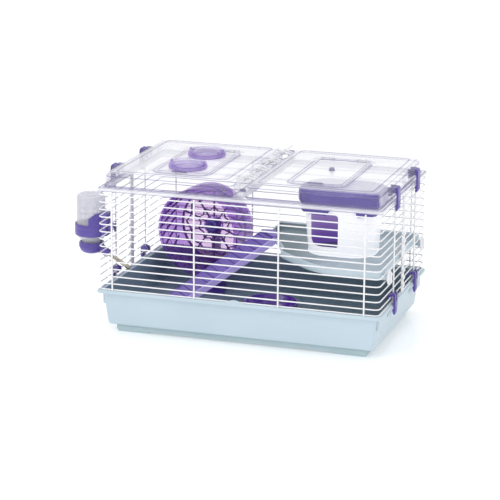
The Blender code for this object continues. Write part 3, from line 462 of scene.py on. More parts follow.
def inset(points, d):
    out = []
    n = len(points)
    for i in range(n):
        p0, p1, p2 = (Vector(points[(i + k - 1) % n]) for k in range(3))
        e0, e1 = (p1 - p0).normalized(), (p2 - p1).normalized()
        n0, n1 = Vector((-e0.y, e0.x)), Vector((-e1.y, e1.x))
        m = (n0 + n1).normalized()
        out.append(p1 + m * (d / max(0.3, m.dot(n0))))
    return out


def arc(cx, cy, r, a0, a1, n):
    return [(cx + r * math.cos(math.radians(a0 + (a1 - a0) * i / n)), cy + r * math.sin(math.radians(a0 + (a1 - a0) * i / n))) for i in range(n + 1)]


def carve(ob, *cutters):
    """Cuts plain pieces out of a finished mesh with the exact Boolean."""
    for c in cutters:
        me = bpy.data.meshes.new("cutter")
        bm = bmesh.new()
        vs = [bm.verts.new(((p.x + OX) * 0.001, p.y * 0.001, p.z * 0.001)) for p in c.v]
        for f in c.f:
            bm.faces.new([vs[i] for i in f])
        bmesh.ops.recalc_face_normals(bm, faces=bm.faces)
        bm.to_mesh(me)
        bm.free()
        co = bpy.data.objects.new("cutter", me)
        bpy.context.scene.collection.objects.link(co)
        md = ob.modifiers.new("cut", "BOOLEAN")
        md.operation = "DIFFERENCE"
        md.solver = "EXACT"
        md.object = co
        bpy.context.view_layer.update()
        dg = bpy.context.evaluated_depsgraph_get()
        new = bpy.data.meshes.new_from_object(ob.evaluated_get(dg))
        ob.modifiers.remove(md)
        ob.data = new
        bpy.data.objects.remove(co)
    for p in ob.data.polygons:
        p.use_smooth = True
    ob.data.set_sharp_from_angle(angle=math.radians(32))
    return ob


# ================================================================== base tray
def tray():
    P = Piece()
    prof = [(214, 132, 10, 3.5), (214, 132, 10, 12.4), (215, 133, 11, 13.2), (222.2, 136.8, 12, 13.3), (224, 138.5, 12.6, 13.8), (225.2, 139.8, 13, 14.9), (225.8, 140.3, 13.2, 17.0),
            (228.2, 142.5, 13.5, 38.0), (231.2, 145.2, 14, 66.8), (231.9, 145.9, 14.2, 68.0), (237.3, 151.0, 16.4, 68.2), (239.2, 152.7, 17.4, 68.6), (239.9, 153.3, 17.9, 69.7),
            (240, 153.4, 18, 71.2), (239.9, 153.3, 17.9, 72.6), (239.3, 152.8, 17.6, 73.7), (238.2, 151.8, 17, 74.2), (233.6, 147.0, 14, 74.2), (232.0, 145.4, 13.2, 73.9), (230.9, 144.4, 12.8, 73.0),
            (229.8, 143.3, 12.2, 71.0), (227.0, 141.0, 11.8, 50.0), (223.6, 138.1, 11.2, 20.6), (222.8, 137.3, 10.5, 18.5), (220.8, 135.3, 9, 17.5)]
    rings = [rrect(a, b, 4.6 + (r - 8.0) * 0.22, z, n=12) for a, b, r, z in prof]
    # the last five strips, the tray's inner walls and floor, take tray_inside: painted shade
    mats = [2] * 3 + [0] * 16 + [1] * 5
    loft(P, rings, mats=mats)
    for sx in (-1, 1):
        for sy in (-1, 1):
            cx, cy = sx * 184.0, sy * 123.7
            loft(P, [rrect(27.2, 6.9, 2.5, 0, cx, cy, 5), rrect(28, 7.7, 3, 0.8, cx, cy, 5), rrect(28, 7.7, 3, 4.6, cx, cy, 5)], 2)
        # thicker band under the rim on the short wall
        x = sx * 230.0
        o = fillet([(-137.6, 46.5), (137.6, 46.5), (137.6, 68.4), (-137.6, 68.4)], [4, 4, 0.5, 0.5], 5)
        loft(P, [[(x, u, v) for u, v in o], [(sx * 233.4, u, v) for u, v in o], [(sx * 234.2, u, v) for u, v in inset(o, 0.8)]], 0)
        for y in (-87.0, 56.0):
            o = [(0, 68.4), (5.0, 68.4), (0.2, 55.0), (0, 55.0)]
            prism(P, o, lambda u, v, w, y=y: (sx * (233.8 + u), y - 0.9 + w, v), 1.8, 0)
    # raised thumb tab in the middle of the front rim
    rings = []
    for t in range(25):
        k = t / 24.0 * 2 - 1
        h = 5.4 * (0.5 + 0.5 * math.cos(math.pi * k)) ** 1.2
        x = -2 + 23 * k
        rings.append([(x, -153.3, 71.5), (x, -153.3, 73.2 + h * 0.9), (x, -152.7, 73.9 + h), (x, -151.2, 73.9 + h), (x, -149.6, 73.2 + h * 0.5), (x, -148.5, 73.0)])
    loft(P, rings, 0)
    P.make("tray_shell", "cage", ["tray_blue", "tray_inside", "tray_plinth"], ["tray"], smooth=40)


# ================================================================== wire walls
ROWS = [85.4 + 12.38 * k for k in range(13)]
WX, WY, WB = 236.0, 149.4, 8.0


def wires():
    for name, sg, node in (("wires_front", -1, "wire_front"), ("wires_back", 1, "wire_back")):
        P = Piece()
        for z in [75.6] + ROWS:
            pts = [(-WX, sg * 5.6, z), (-WX, sg * 60, z), (-WX, sg * (WY - WB), z)]
            pts += [(-WX + WB - WB * math.cos(math.radians(a)), sg * (WY - WB + WB * math.sin(math.radians(a))), z) for a in (18, 36, 54, 72, 90)]
            pts += [(-70, sg * WY, z), (70, sg * WY, z), (WX - WB, sg * WY, z)]
            pts += [(WX - WB + WB * math.sin(math.radians(a)), sg * (WY - WB + WB * math.cos(math.radians(a))), z) for a in (18, 36, 54, 72, 90)]
            pts += [(WX, sg * 60, z), (WX, sg * 5.6, z)]
            tube(P, pts, 1.12, 10)
        for x in (-212.0, -70.7, 70.7, 212.0):
            tube(P, [(x, sg * (WY + 2.2), 74.9), (x, sg * (WY + 2.2), 150), (x, sg * (WY + 2.2), 238.0)], 1.45, 12)
            for z in ROWS:          # the welds
                turned(P, [(0, -0.9), (1.3, -0.5), (1.5, 0), (1.3, 0.5), (0, 0.9)], (x, sg * (WY + 1.05), z), (0, 1, 0), 8)
        for sx in (-1, 1):
            y = sg * 68.0
            tube(P, [(sx * (WX + 2.2), y, 74.9), (sx * (WX + 2.2), y, 150), (sx * (WX + 2.2), y, 238.0)], 1.45, 12)
            y = sg * 5.0
            tube(P, [(sx * WX, y, 74.9), (sx * WX, y, 150), (sx * WX, y, 238.4)], 1.5, 10)
        P.make(name, "cage", ["wire_white"], [node], smooth=60)
    for sx, node in ((-1, "side_seam_left"), (1, "side_seam_right")):
        P = Piece()
        o = fillet([(-3.0, 235.2), (3.0, 235.2), (3.0, 237.2), (2.0, 238.2), (-2.0, 238.2), (-3.0, 237.2)], 0.8, 3)
        prism(P, o, lambda u, v, w: (sx * v, u, 74.6 + w), 163.9)
        for z in ROWS:
            o2 = fillet([(-6.9, z - 2.2), (6.9, z - 2.2), (6.9, z + 2.2), (-6.9, z + 2.2)], 1.4, 3)
            loft(P, [[(sx * 236.5, u, v) for u, v in o2], [(sx * 238.9, u, v) for u, v in o2], [(sx * 239.3, u, v) for u, v in inset(o2, 0.5)]])
        P.make(node + "_clip", "cage", ["wire_white"], [node], smooth=40)


# ================================================================== top frame, bridge and hinge
def top_frame():
    P = Piece()
    prof = [(229, 141, 9, 239.3), (236, 148, 14.5, 239.0), (238.1, 150.1, 15.6, 239.4), (238.7, 150.7, 16, 240.6), (238.8, 150.8, 16, 242.0), (238.7, 150.7, 16, 243.3), (238.0, 150.0, 15.6, 244.5),
            (236.8, 148.8, 15, 245.0), (235.2, 147.2, 14.2, 244.6), (234.4, 146.4, 14, 243.6), (232.6, 144.6, 13, 243.4), (231.8, 143.8, 12, 244.4), (228, 140, 9, 244.9), (226.3, 138.3, 8.3, 244.6), (226, 138, 8, 243.6), (226.8, 138.8, 8.2, 240.4)]
    # strips marked 1 take clear_edge: painted refraction lines along the rail's edges
    mats = [0, 0, 1, 0, 0, 0, 1, 1, 0, 0, 0, 1, 0, 0, 0, 0]
    loft(P, [rrect(a, b, 4.2 + (r - 8.0) * 0.28, z, n=12) for a, b, r, z in prof], closed=True, mats=mats)
    P.make("top_rail", "cage", ["frame_clear", "clear_edge"], ["top_frame"], smooth=50)
    P = Piece()
    o = fillet([(-6.4, 245.3), (6.4, 245.3), (6.4, 249.9), (-6.4, 249.9)], 1.6, 4)
    prism(P, o, lambda u, v, w: (u, -150.2 + w, v), 300.4)
    box(P, (-2, -137.5, 240.0), (2, 137.5, 246.0))
    post = [(-5.4, 246)] + [(5.4, 246)] + arc(0, 269.3, 4.3, -15, 195, 16)
    for y0 in (-150.4, 142.4, -4.0):
        prism(P, post, lambda u, v, w, y0=y0: (u, y0 + w, v), 8.0)
    prism(P, fillet([(-4.8, 247), (4.8, 247), (4.8, 262), (-4.8, 262)], 1.5), lambda u, v, w: (u, 142.4 + w, v), 8.6, 1)
    for y in (-118, -72, -56, -12, 12, 56, 72, 118):
        prism(P, fillet([(-5.6, 249.5), (5.6, 249.5), (4.6, 255.0), (-4.6, 255.0)], 1.0), lambda u, v, w, y=y: (u, y - 0.8 + w, v), 1.6, 1)
    P.make("middle_bridge", "cage", ["clear", "clear_edge"], ["center_bridge"], smooth=40, bevel=0.5)


def hinge_slots():
    left, right = [], []
    for c in (-97.0, -33.0, 33.0, 97.0):
        for k, into in enumerate((left, right, left, right)):
            y0 = c - 12.4 + k * 6.3
            into.append((y0, y0 + 5.9))
    return left, right


HZ = 269.5


def lid(name, node, body, sign, hatch_x, slots):
    cx = sign * (9.5 + 231.0) / 2
    hx, hy = (231.0 - 9.5) / 2, 141.0
    N = 10
    rings, mats = [], []

    def o(ix, iy, r, z, mat):
        rings.append(rrect(hx - ix, hy - iy, r, z, cx, 0, N))
        mats.append(mat)

    def h(off, z, mat):
        rings.append(rrect(41 + off, 84 + off, 11 + off, z, hatch_x, -21, N))
        mats.append(mat)

    # strips marked 1 take clear_edge: painted refraction lines along the lid's rims, crown and aperture
    o(0, 0, 9, 245.3, 1)
    o(0, 0, 9, 247.4, 1)
    o(0.5, 0.7, 9.2, 248.4, 0)
    o(1.2, 1.8, 9.6, 257.0, 0)
    for i in range(8):
        t = math.radians(90 * i / 7)
        o(1.5 + 5.5 * (1 - math.cos(t)), 2.2 + 6.0 * (1 - math.cos(t)), 10 + 1.0 * math.sin(t), 259.5 + 9.0 * math.sin(t), 1 if i in (1, 6) else 0)
    o(9.5, 10.7, 9.5, 268.5, 0)
    o(15.0, 16.0, 9.0, 268.5, 1)
    o(15.6, 16.6, 9.0, 269.0, 1)
    o(16.8, 17.8, 9.0, 269.0, 1)
    o(17.4, 18.4, 9.0, 268.5, 0)
    h(9.6, 268.5, 1)
    h(8.8, 268.95, 1)
    h(7.4, 268.95, 1)
    h(6.6, 268.5, 0)
    h(0.7, 268.5, 1)
    h(0.1, 268.1, 1)
    h(0.0, 267.0, 1)
    h(0.6, 266.4, 0)
    for i in range(6):
        t = math.radians(90 * (5 - i) / 5)
        o(3.6 + 4.8 * (1 - math.cos(t)), 4.4 + 5.0 * (1 - math.cos(t)), 8.6, 258.6 + 7.8 * math.sin(t), 0)
    o(2.1, 2.1, 7.4, 245.3, 0)
    P = Piece()
    loft(P, rings, closed=True, mats=mats)
    for y0, y1 in slots:
        turned(P, [(1.9, 0.0), (3.4, 0.0), (4.0, 0.5), (4.0, y1 - y0 - 0.5), (3.4, y1 - y0), (1.9, y1 - y0)], (0, y0, HZ), (0, 1, 0), 28, closed=True, mat=2)
        arm = fillet([(3.4, 266.3), (14.5, 266.4), (14.5, 268.5), (8.0, 269.9), (3.4, 271.0)], [0.3, 0.3, 1.5, 3.0, 0.5], 4)
        prism(P, arm, lambda u, v, w, y0=y0: (sign * u, y0 + 0.3 + w, v), y1 - y0 - 0.6, 2)
    ear = [(228.2, 250.5)] + arc(235.2, 261.6, 5.1, -58, 104, 16) + [(226.6, 266.6)]
    for y in (-66.0, 66.0):
        for y0 in (y - 11.4, y + 9.1):
            prism(P, ear, lambda u, v, w, y0=y0: (sign * u, y0 + w, v), 2.3, 1)
    for x in (-42.0, -22.6, 19.0, 38.4):
        lug = [(68.8, 267.5), (75.8, 267.5)] + arc(71.8, 271.7, 2.6, 10, 175, 10)
        prism(P, lug, lambda u, v, w, x=x: (hatch_x + x + w, u, v), 3.6, 2)
    # the stud on the left lid's front wall
    if sign < 0:
        stud = fillet([(-27.4, 248.6), (-24.0, 248.6), (-24.0, 259.6), (-27.4, 259.6)], 1.0)
        prism(P, stud, lambda u, v, w: (u, -141.6 + w, v), 4.0, 1)
        cap = fillet([(-29.0, 259.0), (-22.4, 259.0), (-22.4, 261.4), (-29.0, 261.4)], 1.0)
        prism(P, cap, lambda u, v, w: (u, -141.4 + w, v), 3.6, 1)
    P.make(name, body, ["clear", "clear_edge", "frame_clear"], [node], smooth=38, bevel=0.0)


def hatch(name, node, body, hx):
    P = Piece()
    cy, hy, N = -21.0, 89.0, 10
    # strips marked 1 take clear_edge: painted refraction lines along the hatch's edges
    spec = [(-0.6, 268.8, 0), (0.0, 269.3, 0), (0.0, 270.0, 1), (-0.4, 270.5, 0), (-1.2, 270.8, 0), (-3.2, 270.8, 1), (-3.8, 271.5, 0), (-5.4, 271.5, 1), (-6.2, 270.7, 0), (-9.0, 270.5, 0)]
    loft(P, [rrect(46 + o, hy + o, max(3, 13 + o), z, hx, cy, N) for o, z, _ in spec], mats=[m for _, _, m in spec])
    for x in (-34.9, 23.1):
        turned(P, [(1.4, 0.0), (2.1, 0.0), (2.5, 0.4), (2.5, 11.4), (2.1, 11.8), (1.4, 11.8)], (hx + x, 71.8, 271.7), (1, 0, 0), 24, closed=True, mat=2)
        arm = fillet([(65.0, 269.3), (71.4, 269.3), (71.4, 271.8), (65.0, 270.7)], 0.5)
        prism(P, arm, lambda u, v, w, x=x: (hx + x + 0.3 + w, u, v), 11.2, 2)
    # finger pull at the front edge
    pull = fillet([(-14, -108.6), (14, -108.6), (10, -103.6), (-10, -103.6)], 2.0)
    loft(P, [[(hx + u, v, 270.6) for u, v in pull], [(hx + u, v, 272.0) for u, v in pull], [(hx + u, v, 272.5) for u, v in inset(pull, 0.6)]], 1)
    P.make(name, body, ["hatch_clear", "clear_edge", "frame_clear"], [node], smooth=38)


def ports():
    for tag, y in (("front", -71.0), ("back", 22.0)):
        P = Piece()
        low = [(23.7, 271.2), (30.4, 271.1), (31.5, 271.8), (32.0, 273.2), (32.0, 275.2), (31.3, 276.3), (24.0, 276.3)]
        turned(P, low, (-109.5, y, 0), (0, 0, 1), 80, closed=True)
        high = [(24.1, 276.2), (31.0, 276.2), (31.2, 277.4), (31.4, 278.2), (31.0, 279.6), (29.6, 280.9), (27.6, 281.4), (25.8, 281.2), (24.6, 280.2), (24.2, 278.2)]
        turned(P, high, (-109.5, y, 0), (0, 0, 1), 80, closed=True, mat=1)
        for s in (-1, 1):
            o = fillet([(-2.6, 276.5), (2.6, 276.5), (2.2, 283.4), (-2.2, 283.4)], 1.2, 4)
            prism(P, o, lambda u, v, w, s=s: (-109.5 + s * 28.0 - 1.6 + w, y + u, v), 3.2)
        P.make("port_collar_" + tag, tag + "_port", ["purple_clear", "ring_clear"], ["port_ring_" + tag], smooth=45)
        P = Piece()
        dome = [(0, 271.4), (22.9, 271.4), (23.3, 273.0), (23.2, 276.0), (22.2, 278.3), (20.0, 280.5), (16.8, 282.3), (12.6, 283.6), (7.0, 284.5), (0, 284.8)]
        turned(P, dome, (-109.5, y, 0), (0, 0, 1), 64)
        P.make("port_dome_" + tag, tag + "_port", ["dome_clear"], ["port_window_" + tag], smooth=60)


# ================================================================== clips
def lid_clips():
    out = fillet([(237.5, 265.4), (240.6, 267.4), (243.0, 266.0), (244.3, 262.0), (244.6, 236.0), (243.4, 229.4), (240.8, 227.6),
                  (239.5, 228.8), (239.5, 237.4), (241.0, 239.0), (241.0, 256.0), (238.8, 257.6), (235.6, 258.4), (234.2, 261.5), (235.4, 264.4)], 2.2, 4)
    for tag, sx, sy in (("fr", 1, -1), ("br", 1, 1), ("fl", -1, -1), ("bl", -1, 1)):
        P = Piece()
        rings = []
        for k in range(9):
            t = k / 8.0 * 2 - 1
            e = abs(t) ** 6
            cxo, czo = 240.8, 248.0
            rings.append([(sx * (cxo + (u - cxo) * (1 - 0.10 * e)), sy * 66 + t * 8.6 * (1.0 - 0.16 * max(0.0, min(1.0, (246 - v) / 16.0))), czo + (v - czo) * (1 - 0.02 * e)) for u, v in out])
        loft(P, rings)
        for j in range(4):
            z = 233.0 + 3.4 * j
            o = fillet([(-5.4, z), (5.4, z), (5.4, z + 1.5), (-5.4, z + 1.5)], 0.7, 3)
            prism(P, o, lambda u, v, w: (sx * (244.0 + w), sy * 66 + u, v), 0.9)
        rod(P, (sx * 237.0, sy * 66 - 11.0, 261.5), (sx * 237.0, sy * 66 + 11.0, 261.5), 1.5, 16)
        names = {"fr": "lid_clip_front_right", "br": "lid_clip_back_right", "fl": "lid_clip_front_left", "bl": "lid_clip_back_left"}
        P.make("lid_catch_" + tag, "lid_clip_" + tag, ["purple"], [names[tag]], smooth=40, bevel=0.35)


def tray_clips():
    full = fillet([(231.8, 82.0), (233.9, 82.0), (233.9, 87.5), (240.6, 87.5), (240.6, 66.8), (238.8, 66.0), (238.8, 62.6),
                   (240.4, 57.4), (242.6, 56.0), (244.0, 60.0), (244.4, 76.0), (244.2, 89.4), (242.4, 92.8), (239.6, 93.2),
                   (236.0, 91.4), (233.2, 90.8), (231.8, 88.6)], 1.4, 3)
    low = fillet([(240.6, 78.8), (240.6, 66.8), (238.8, 66.0), (238.8, 62.6), (240.4, 57.4), (242.6, 56.0), (244.0, 60.0), (244.4, 76.0), (244.4, 78.8)], 1.2, 3)
    for tag, sx, sy in (("fr", 1, -1), ("br", 1, 1), ("fl", -1, -1), ("bl", -1, 1)):
        P = Piece()
        for o, y0, y1 in ((full, -8.0, -2.6), (full, 2.6, 8.0), (low, -2.6, 2.6)):
            rings = []
            for k in range(4):
                y = y0 + (y1 - y0) * k / 3.0
                rings.append([(sx * u, sy * 68 + y * (1.0 - 0.36 * max(0.0, min(1.0, (84 - v) / 28.0))), v) for u, v in o])
            loft(P, rings)
        for j in range(3):
            z = 62.0 + 3.2 * j
            o = fillet([(-3.4, z), (3.4, z), (3.4, z + 1.4), (-3.4, z + 1.4)], 0.6, 3)
            prism(P, o, lambda u, v, w: (sx * (243.6 + w), sy * 68 + u, v), 0.9)
        names = {"fr": "tray_clip_front_right", "br": "tray_clip_back_right", "fl": "tray_clip_front_left", "bl": "tray_clip_back_left"}
        P.make("tray_catch_" + tag, "tray_clip_" + tag, ["purple"], [names[tag]], smooth=40, bevel=0.3)


# ================================================================== shelf, locks, ramp
SHELF = [(-17, 136), (-14.5, 99), (-11, 71), (39, -23), (39, -41), (62, -62), (86, -83), (107.5, -101.5), (136, -114.5), (150, -118), (226, -118), (231.5, -112.5), (231.5, 136)]


def shelf():
    P = Piece()
    bends = [5, 12, 8, 12, 12, 14, 14, 14, 16, 14, 6, 6, 5]
    spec = [(2.2, 125.0, 0), (0.8, 125.3, 0), (0.2, 126.6, 0), (0.0, 130.0, 0), (0.0, 136.8, 0), (0.4, 137.7, 0), (1.2, 138.1, 0), (2.1, 137.8, 0), (2.6, 137.0, 1), (4.0, 129.0, 1), (4.8, 127.9, 1), (6.0, 127.6, 1)]
    loft(P, [[(p[0], p[1], z) for p in fillet(inset(SHELF, d), [max(1.0, b - 0.6 * d) for b in bends], 6)] for d, z, _ in spec], mats=[m for _, _, m in spec])
    for s in (-1, 1):
        o = fillet([(s * 110 - 5, 124.9), (s * 110 + 5, 124.9), (s * 110 + 5, 132.9), (s * 110 - 5, 132.9)], 1.5, 3)
        prism(P, o, lambda u, v, w: (229 + w, u, v), 10.8, 0)
    P.make("shelf", "cage", ["shelf_grey", "shelf_floor"], ["platform"], smooth=40)
    for tag, s in (("front", -1), ("back", 1)):
        P = Piece()
        base = (0, s * 110.0, 128.9)
        turned(P, [(0, 236.6), (2.0, 236.6), (2.0, 240.3), (10.4, 240.3), (11.4, 240.8), (11.6, 241.8), (11.4, 242.8), (10.4, 243.4), (9.0, 243.4), (8.2, 242.6), (6.0, 242.4), (5.0, 243.2), (3.0, 243.4), (0, 243.4)], base, (1, 0, 0), 48)
        grip = fillet([(-9, -2.2), (-6, -3.0), (6, -3.0), (9, -2.2), (9, 2.2), (6, 3.0), (-6, 3.0), (-9, 2.2)], 1.5, 4)
        loft(P, [[(242.6, s * 110 + v, 128.9 + u) for u, v in grip], [(245.2, s * 110 + v, 128.9 + u) for u, v in grip], [(245.8, s * 110 + v, 128.9 + u) for u, v in inset(grip, 0.6)]])
        P.make("lock_knob_" + tag, "lock_" + tag, ["lock_white"], ["platform_lock_" + tag], smooth=40)


RT = Vector((-27.4, 67.6, 138.0))
RDIR, RSLOPE, RW, RH = math.radians(222.0), 0.55, 52.0, 13.0
RD = Vector((math.cos(RDIR), math.sin(RDIR), -RSLOPE))
RC = Vector((math.sin(RDIR) * -1.0, math.cos(RDIR), 0))
if RC.x < 0:
    RC = -RC


def ramp_piece():
    P = Piece()
    a, b = Vector((-11.0, 71.0)), Vector((39.0, -23.0))
    e = (b - a).normalized()
    n = Vector((-e.y, e.x))
    if n.x < 0:
        n = -n
    dh, ch = Vector((RD.x, RD.y)), Vector((RC.x, RC.y))
    rt = Vector((RT.x, RT.y))
    floor = 17.8

    def start(u):
        return max((-0.9 - n.dot(rt - a) - u * n.dot(ch)) / n.dot(dh), -4.2)

    def pt(s, u, dz):
        return RT + RD * s + RC * u + Vector((0, 0, dz))

    t = 2.2
    # side rails, each a plate with a rounded top
    for u0, u1 in ((0.0, t), (RW - t, RW)):
        rows = []
        for u, drop in ((u0, 0.7), (u0 + 0.5, 0.15), ((u0 + u1) / 2, 0.0), (u1 - 0.5, 0.15), (u1, 0.7)):
            s0 = start(u)
            s_end = (138.0 - floor) / RSLOPE
            s_bot = (138.0 - RH - floor) / RSLOPE
            pts = [(s0, -drop)] + [(s0 + (s_end - 8 - s0) * k / 12.0, -drop) for k in range(1, 13)] + [(s_end - 2.5, -2.0), (s_end - 0.4, -0.4)]
            row = [pt(s, u, dz) for s, dz in pts]
            row[-1] = pt(s_end - 0.4, u, 0) + Vector((0, 0, 0))
            row += [pt(s_bot, u, -RH)] + [pt(s0 + (s_bot - s0) * k / 12.0, u, -RH) for k in range(11, 0, -1)] + [pt(s0, u, -RH)]
            for q in row:
                q.z = max(q.z, floor)
            rows.append(row)
        # the right rail takes ramp_rail, painted light; the left rail keeps the ramp purple
        loft(P, rows, 1 if u0 > 1 else 0)
    # deck
    s_top = (138.0 - 1.6 - floor) / RSLOPE
    us = [t - 0.2, RW / 2, RW - t + 0.2]
    rows = []
    for u in us:
        s0 = start(u)
        row = [pt(s0, u, -1.6), pt(s_top, u, -1.6), pt(s_top - 3.5, u, -4.0), pt(s0, u, -4.0)]
        for q in row:
            q.z = max(q.z, floor)
        rows.append(row)
    loft(P, rows, 0)
    # cleats across the deck and a small nub in the middle of each field
    k = 0
    s = 7.0
    while s < s_top - 8:
        sec = [(-0.9, -1.7), (-0.5, -0.75), (0.5, -0.75), (0.9, -1.7)]
        us0, us1 = t - 0.1, RW - t + 0.1
        if s > start(us1) + 2 and s > start(us0) + 2:
            loft(P, [[pt(s + ds, us0, dz) for ds, dz in sec], [pt(s + ds, us1, dz) for ds, dz in sec]], 2)
            for uu in (RW * 0.28, RW * 0.72):
                ring = []
                for rr, dz in ((1.9, -1.7), (1.6, -0.9), (0.9, -0.7)):
                    ring.append([pt(s + 6.2 + rr * math.cos(math.radians(q)), uu + rr * math.sin(math.radians(q)), dz) for q in range(0, 360, 30)])
                loft(P, ring, 0)
        s += 12.4
        k += 1

    def at(along, inward, z):
        p = a + e * along + n * inward
        return (p.x, p.y, z)

    lt, rtp = RT + RD * 2.0, RT + RD * 2.0 + RC * RW
    plate = [(lt.x, lt.y), (rtp.x, rtp.y), at(44, 6.2, 0)[:2], at(2, 6.2, 0)[:2]]
    plate = fillet(plate, [5, 5, 2, 2], 5)
    loft(P, [[(x, y, 138.5) for x, y in plate], [(x, y, 140.0) for x, y in plate], [(x, y, 140.6) for x, y in inset(plate, 0.7)]], 0)
    for s0, s1 in ((4, 16), (30, 42)):
        base = [(s0, 4.7), (s1, 4.7), (s1, 6.1), (s0, 6.1)]
        loft(P, [[at(q, i, 135.9) for q, i in base], [at(q, i, 139.5) for q, i in base]], 0)
    P.make("ramp_deck", "ramp", ["ramp_purple", "ramp_rail", "ramp_groove"], ["ramp"], smooth=40)


# ================================================================== house and bowl
HT = (126.5, 29.5, 64.5, 48.5, 40.0)
HB = (128.5, 28.5, 56.5, 47.5, 38.0)


def hring(t, z, off, n=14):
    cx, cy, hx, hy, r = (b + (a - b) * t for a, b in zip(HT, HB))
    return rrect(hx + off, hy + off, max(6, r + off), z, cx, cy, n)


def house():
    P = Piece()
    rows = [(0.0, 127.9, 1.0, 0), (0.01, 129.6, 1.0, 0), (0.02, 130.3, 0.0, 0)]
    rows += [(k / 10.0, 130.3 + (224.0 - 130.3) * k / 10.0, 0.0, 0) for k in range(1, 11)]
    rows += [(1.0, 224.0, -2.2, 1)] + [(k / 10.0, 130.3 + (224.0 - 130.3) * k / 10.0, -2.2, 1) for k in range(9, 0, -1)] + [(0.0, 127.9, -2.2, 1)]
    loft(P, [hring(t, z, o) for t, z, o, _ in rows], closed=True, mats=[m for *_, m in rows])
    ob = P.make("house_body", "cage", ["house_white", "house_inside"], ["house_walls"], smooth=40)
    C = Piece()
    door = fillet([(83, 198), (83, 152), (88, 144.6), (98, 143.2), (131, 143.2), (131, 198)], [5, 10, 8, 8, 4, 6], 6)
    prism(C, door, lambda u, v, w: (u, -40 + w, v), 62)
    carve(ob, C)
    md = ob.modifiers.new("edge", "BEVEL")
    md.width = 0.0005
    md.segments = 2
    md.limit_method = "ANGLE"
    md.angle_limit = math.radians(40)

    P = Piece()
    rows = [(197.4, 4.0), (199.0, 4.4), (205.0, 4.6), (211.0, 4.8), (212.4, 5.6), (213.8, 7.8), (215.6, 8.6), (228.5, 8.6), (231.8, 8.0), (234.2, 6.0), (235.8, 2.6), (236.7, -3.0), (237.2, -12.0), (237.6, -30.0),
            (235.4, -30.0), (234.9, -13.0), (233.0, 3.0), (230.0, 6.4), (215.6, 6.4), (212.8, 2.8), (197.4, 2.4)]
    rings = [hring(1, z, o) for z, o in rows]
    n = len(rings[0])
    verts = [p for ring in rings for p in ring]
    faces = []
    crown, last = 13, len(rings) - 1
    for i in list(range(crown)) + list(range(crown + 1, last)):
        for j in range(n):
            k = (j + 1) % n
            faces.append((i * n + j, i * n + k, (i + 1) * n + k, (i + 1) * n + j))
    for j in range(n):
        k = (j + 1) % n
        faces.append((j, k, last * n + k, last * n + j))
    faces.append(tuple(range(crown * n, (crown + 1) * n)))
    faces.append(tuple(range((crown + 1) * n, (crown + 2) * n)))
    P.add(verts, faces)
    ob = P.make("house_cap", "roof", ["purple"], ["house_roof"], smooth=40)
    A, B = Piece(), Piece()
    prism(A, fillet([(106, 190), (166, 190), (160, 209.4), (120, 209.4)], [0, 0, 5, 8], 5), lambda u, v, w: (u, -60 + w, v), 180)
    prism(B, fillet([(-2, 190), (60, 190), (52, 209.4), (6, 209.4)], [0, 0, 6, 6], 5), lambda u, v, w: (40 + w, u, v), 180)
    carve(ob, A, B)


def bowl():
    P = Piece()
    prof = [(0, 17.8), (35.8, 17.8), (37.6, 18.3), (38.6, 19.6), (42.6, 33.0), (45.4, 41.0), (46.0, 42.2), (46.0, 43.1), (45.3, 43.8), (44.2, 43.8), (43.3, 43.2), (42.2, 41.6), (38.2, 30.0), (35.2, 23.6), (32.0, 21.2), (27.0, 20.5), (0, 20.4)]
    turned(P, prof, (19.5, -24.0, 0), (0, 0, 1), 80, scale=(1.0, 43.0 / 46.0))
    P.make("food_dish", "bowl", ["bowl_purple"], ["food_bowl"], smooth=50)


# ================================================================== wheel
WC = Vector((-140.6, 60.0, 125.1))
WROT = Matrix.Rotation(math.radians(-8.7), 3, "Z")
WR, WD = 76.0, 65.0


def W(x, y, z):
    return WC + WROT @ Vector((x, y, z))


def wpol(r, a, y):
    return W(r * math.cos(a), y, r * math.sin(a))


def wring(P, prof, mat, segs=96, closed=True):
    n = segs
    rings = [[wpol(r, 2 * math.pi * i / n, y) for i in range(n)] for r, y in prof]
    loft(P, rings, mat, closed=closed, caps=(not closed, not closed))


def wbar(P, r0, a0, r1, a1, w, y0, y1, mat, bulge=0.0):
    """A flat bar from one polar point to another, a moulded line on the wheel's back."""
    A, B = Vector((r0 * math.cos(a0), r0 * math.sin(a0))), Vector((r1 * math.cos(a1), r1 * math.sin(a1)))
    d = (B - A).normalized()
    nn = Vector((-d.y, d.x)) * (w / 2)
    mid = (A + B) / 2
    mid = mid + mid.normalized() * bulge
    prev = None
    rows = []
    for k in range(7):
        t = k / 6.0
        p = A * (1 - t) ** 2 + (mid * 2 - (A + B) / 2) * (2 * t * (1 - t)) + B * t ** 2
        rows.append([W(p.x + nn.x, y0, p.y + nn.y), W(p.x - nn.x, y0, p.y - nn.y), W(p.x - nn.x * 0.6, y1, p.y - nn.y * 0.6), W(p.x + nn.x * 0.6, y1, p.y + nn.y * 0.6)])
    loft(P, rows, mat)


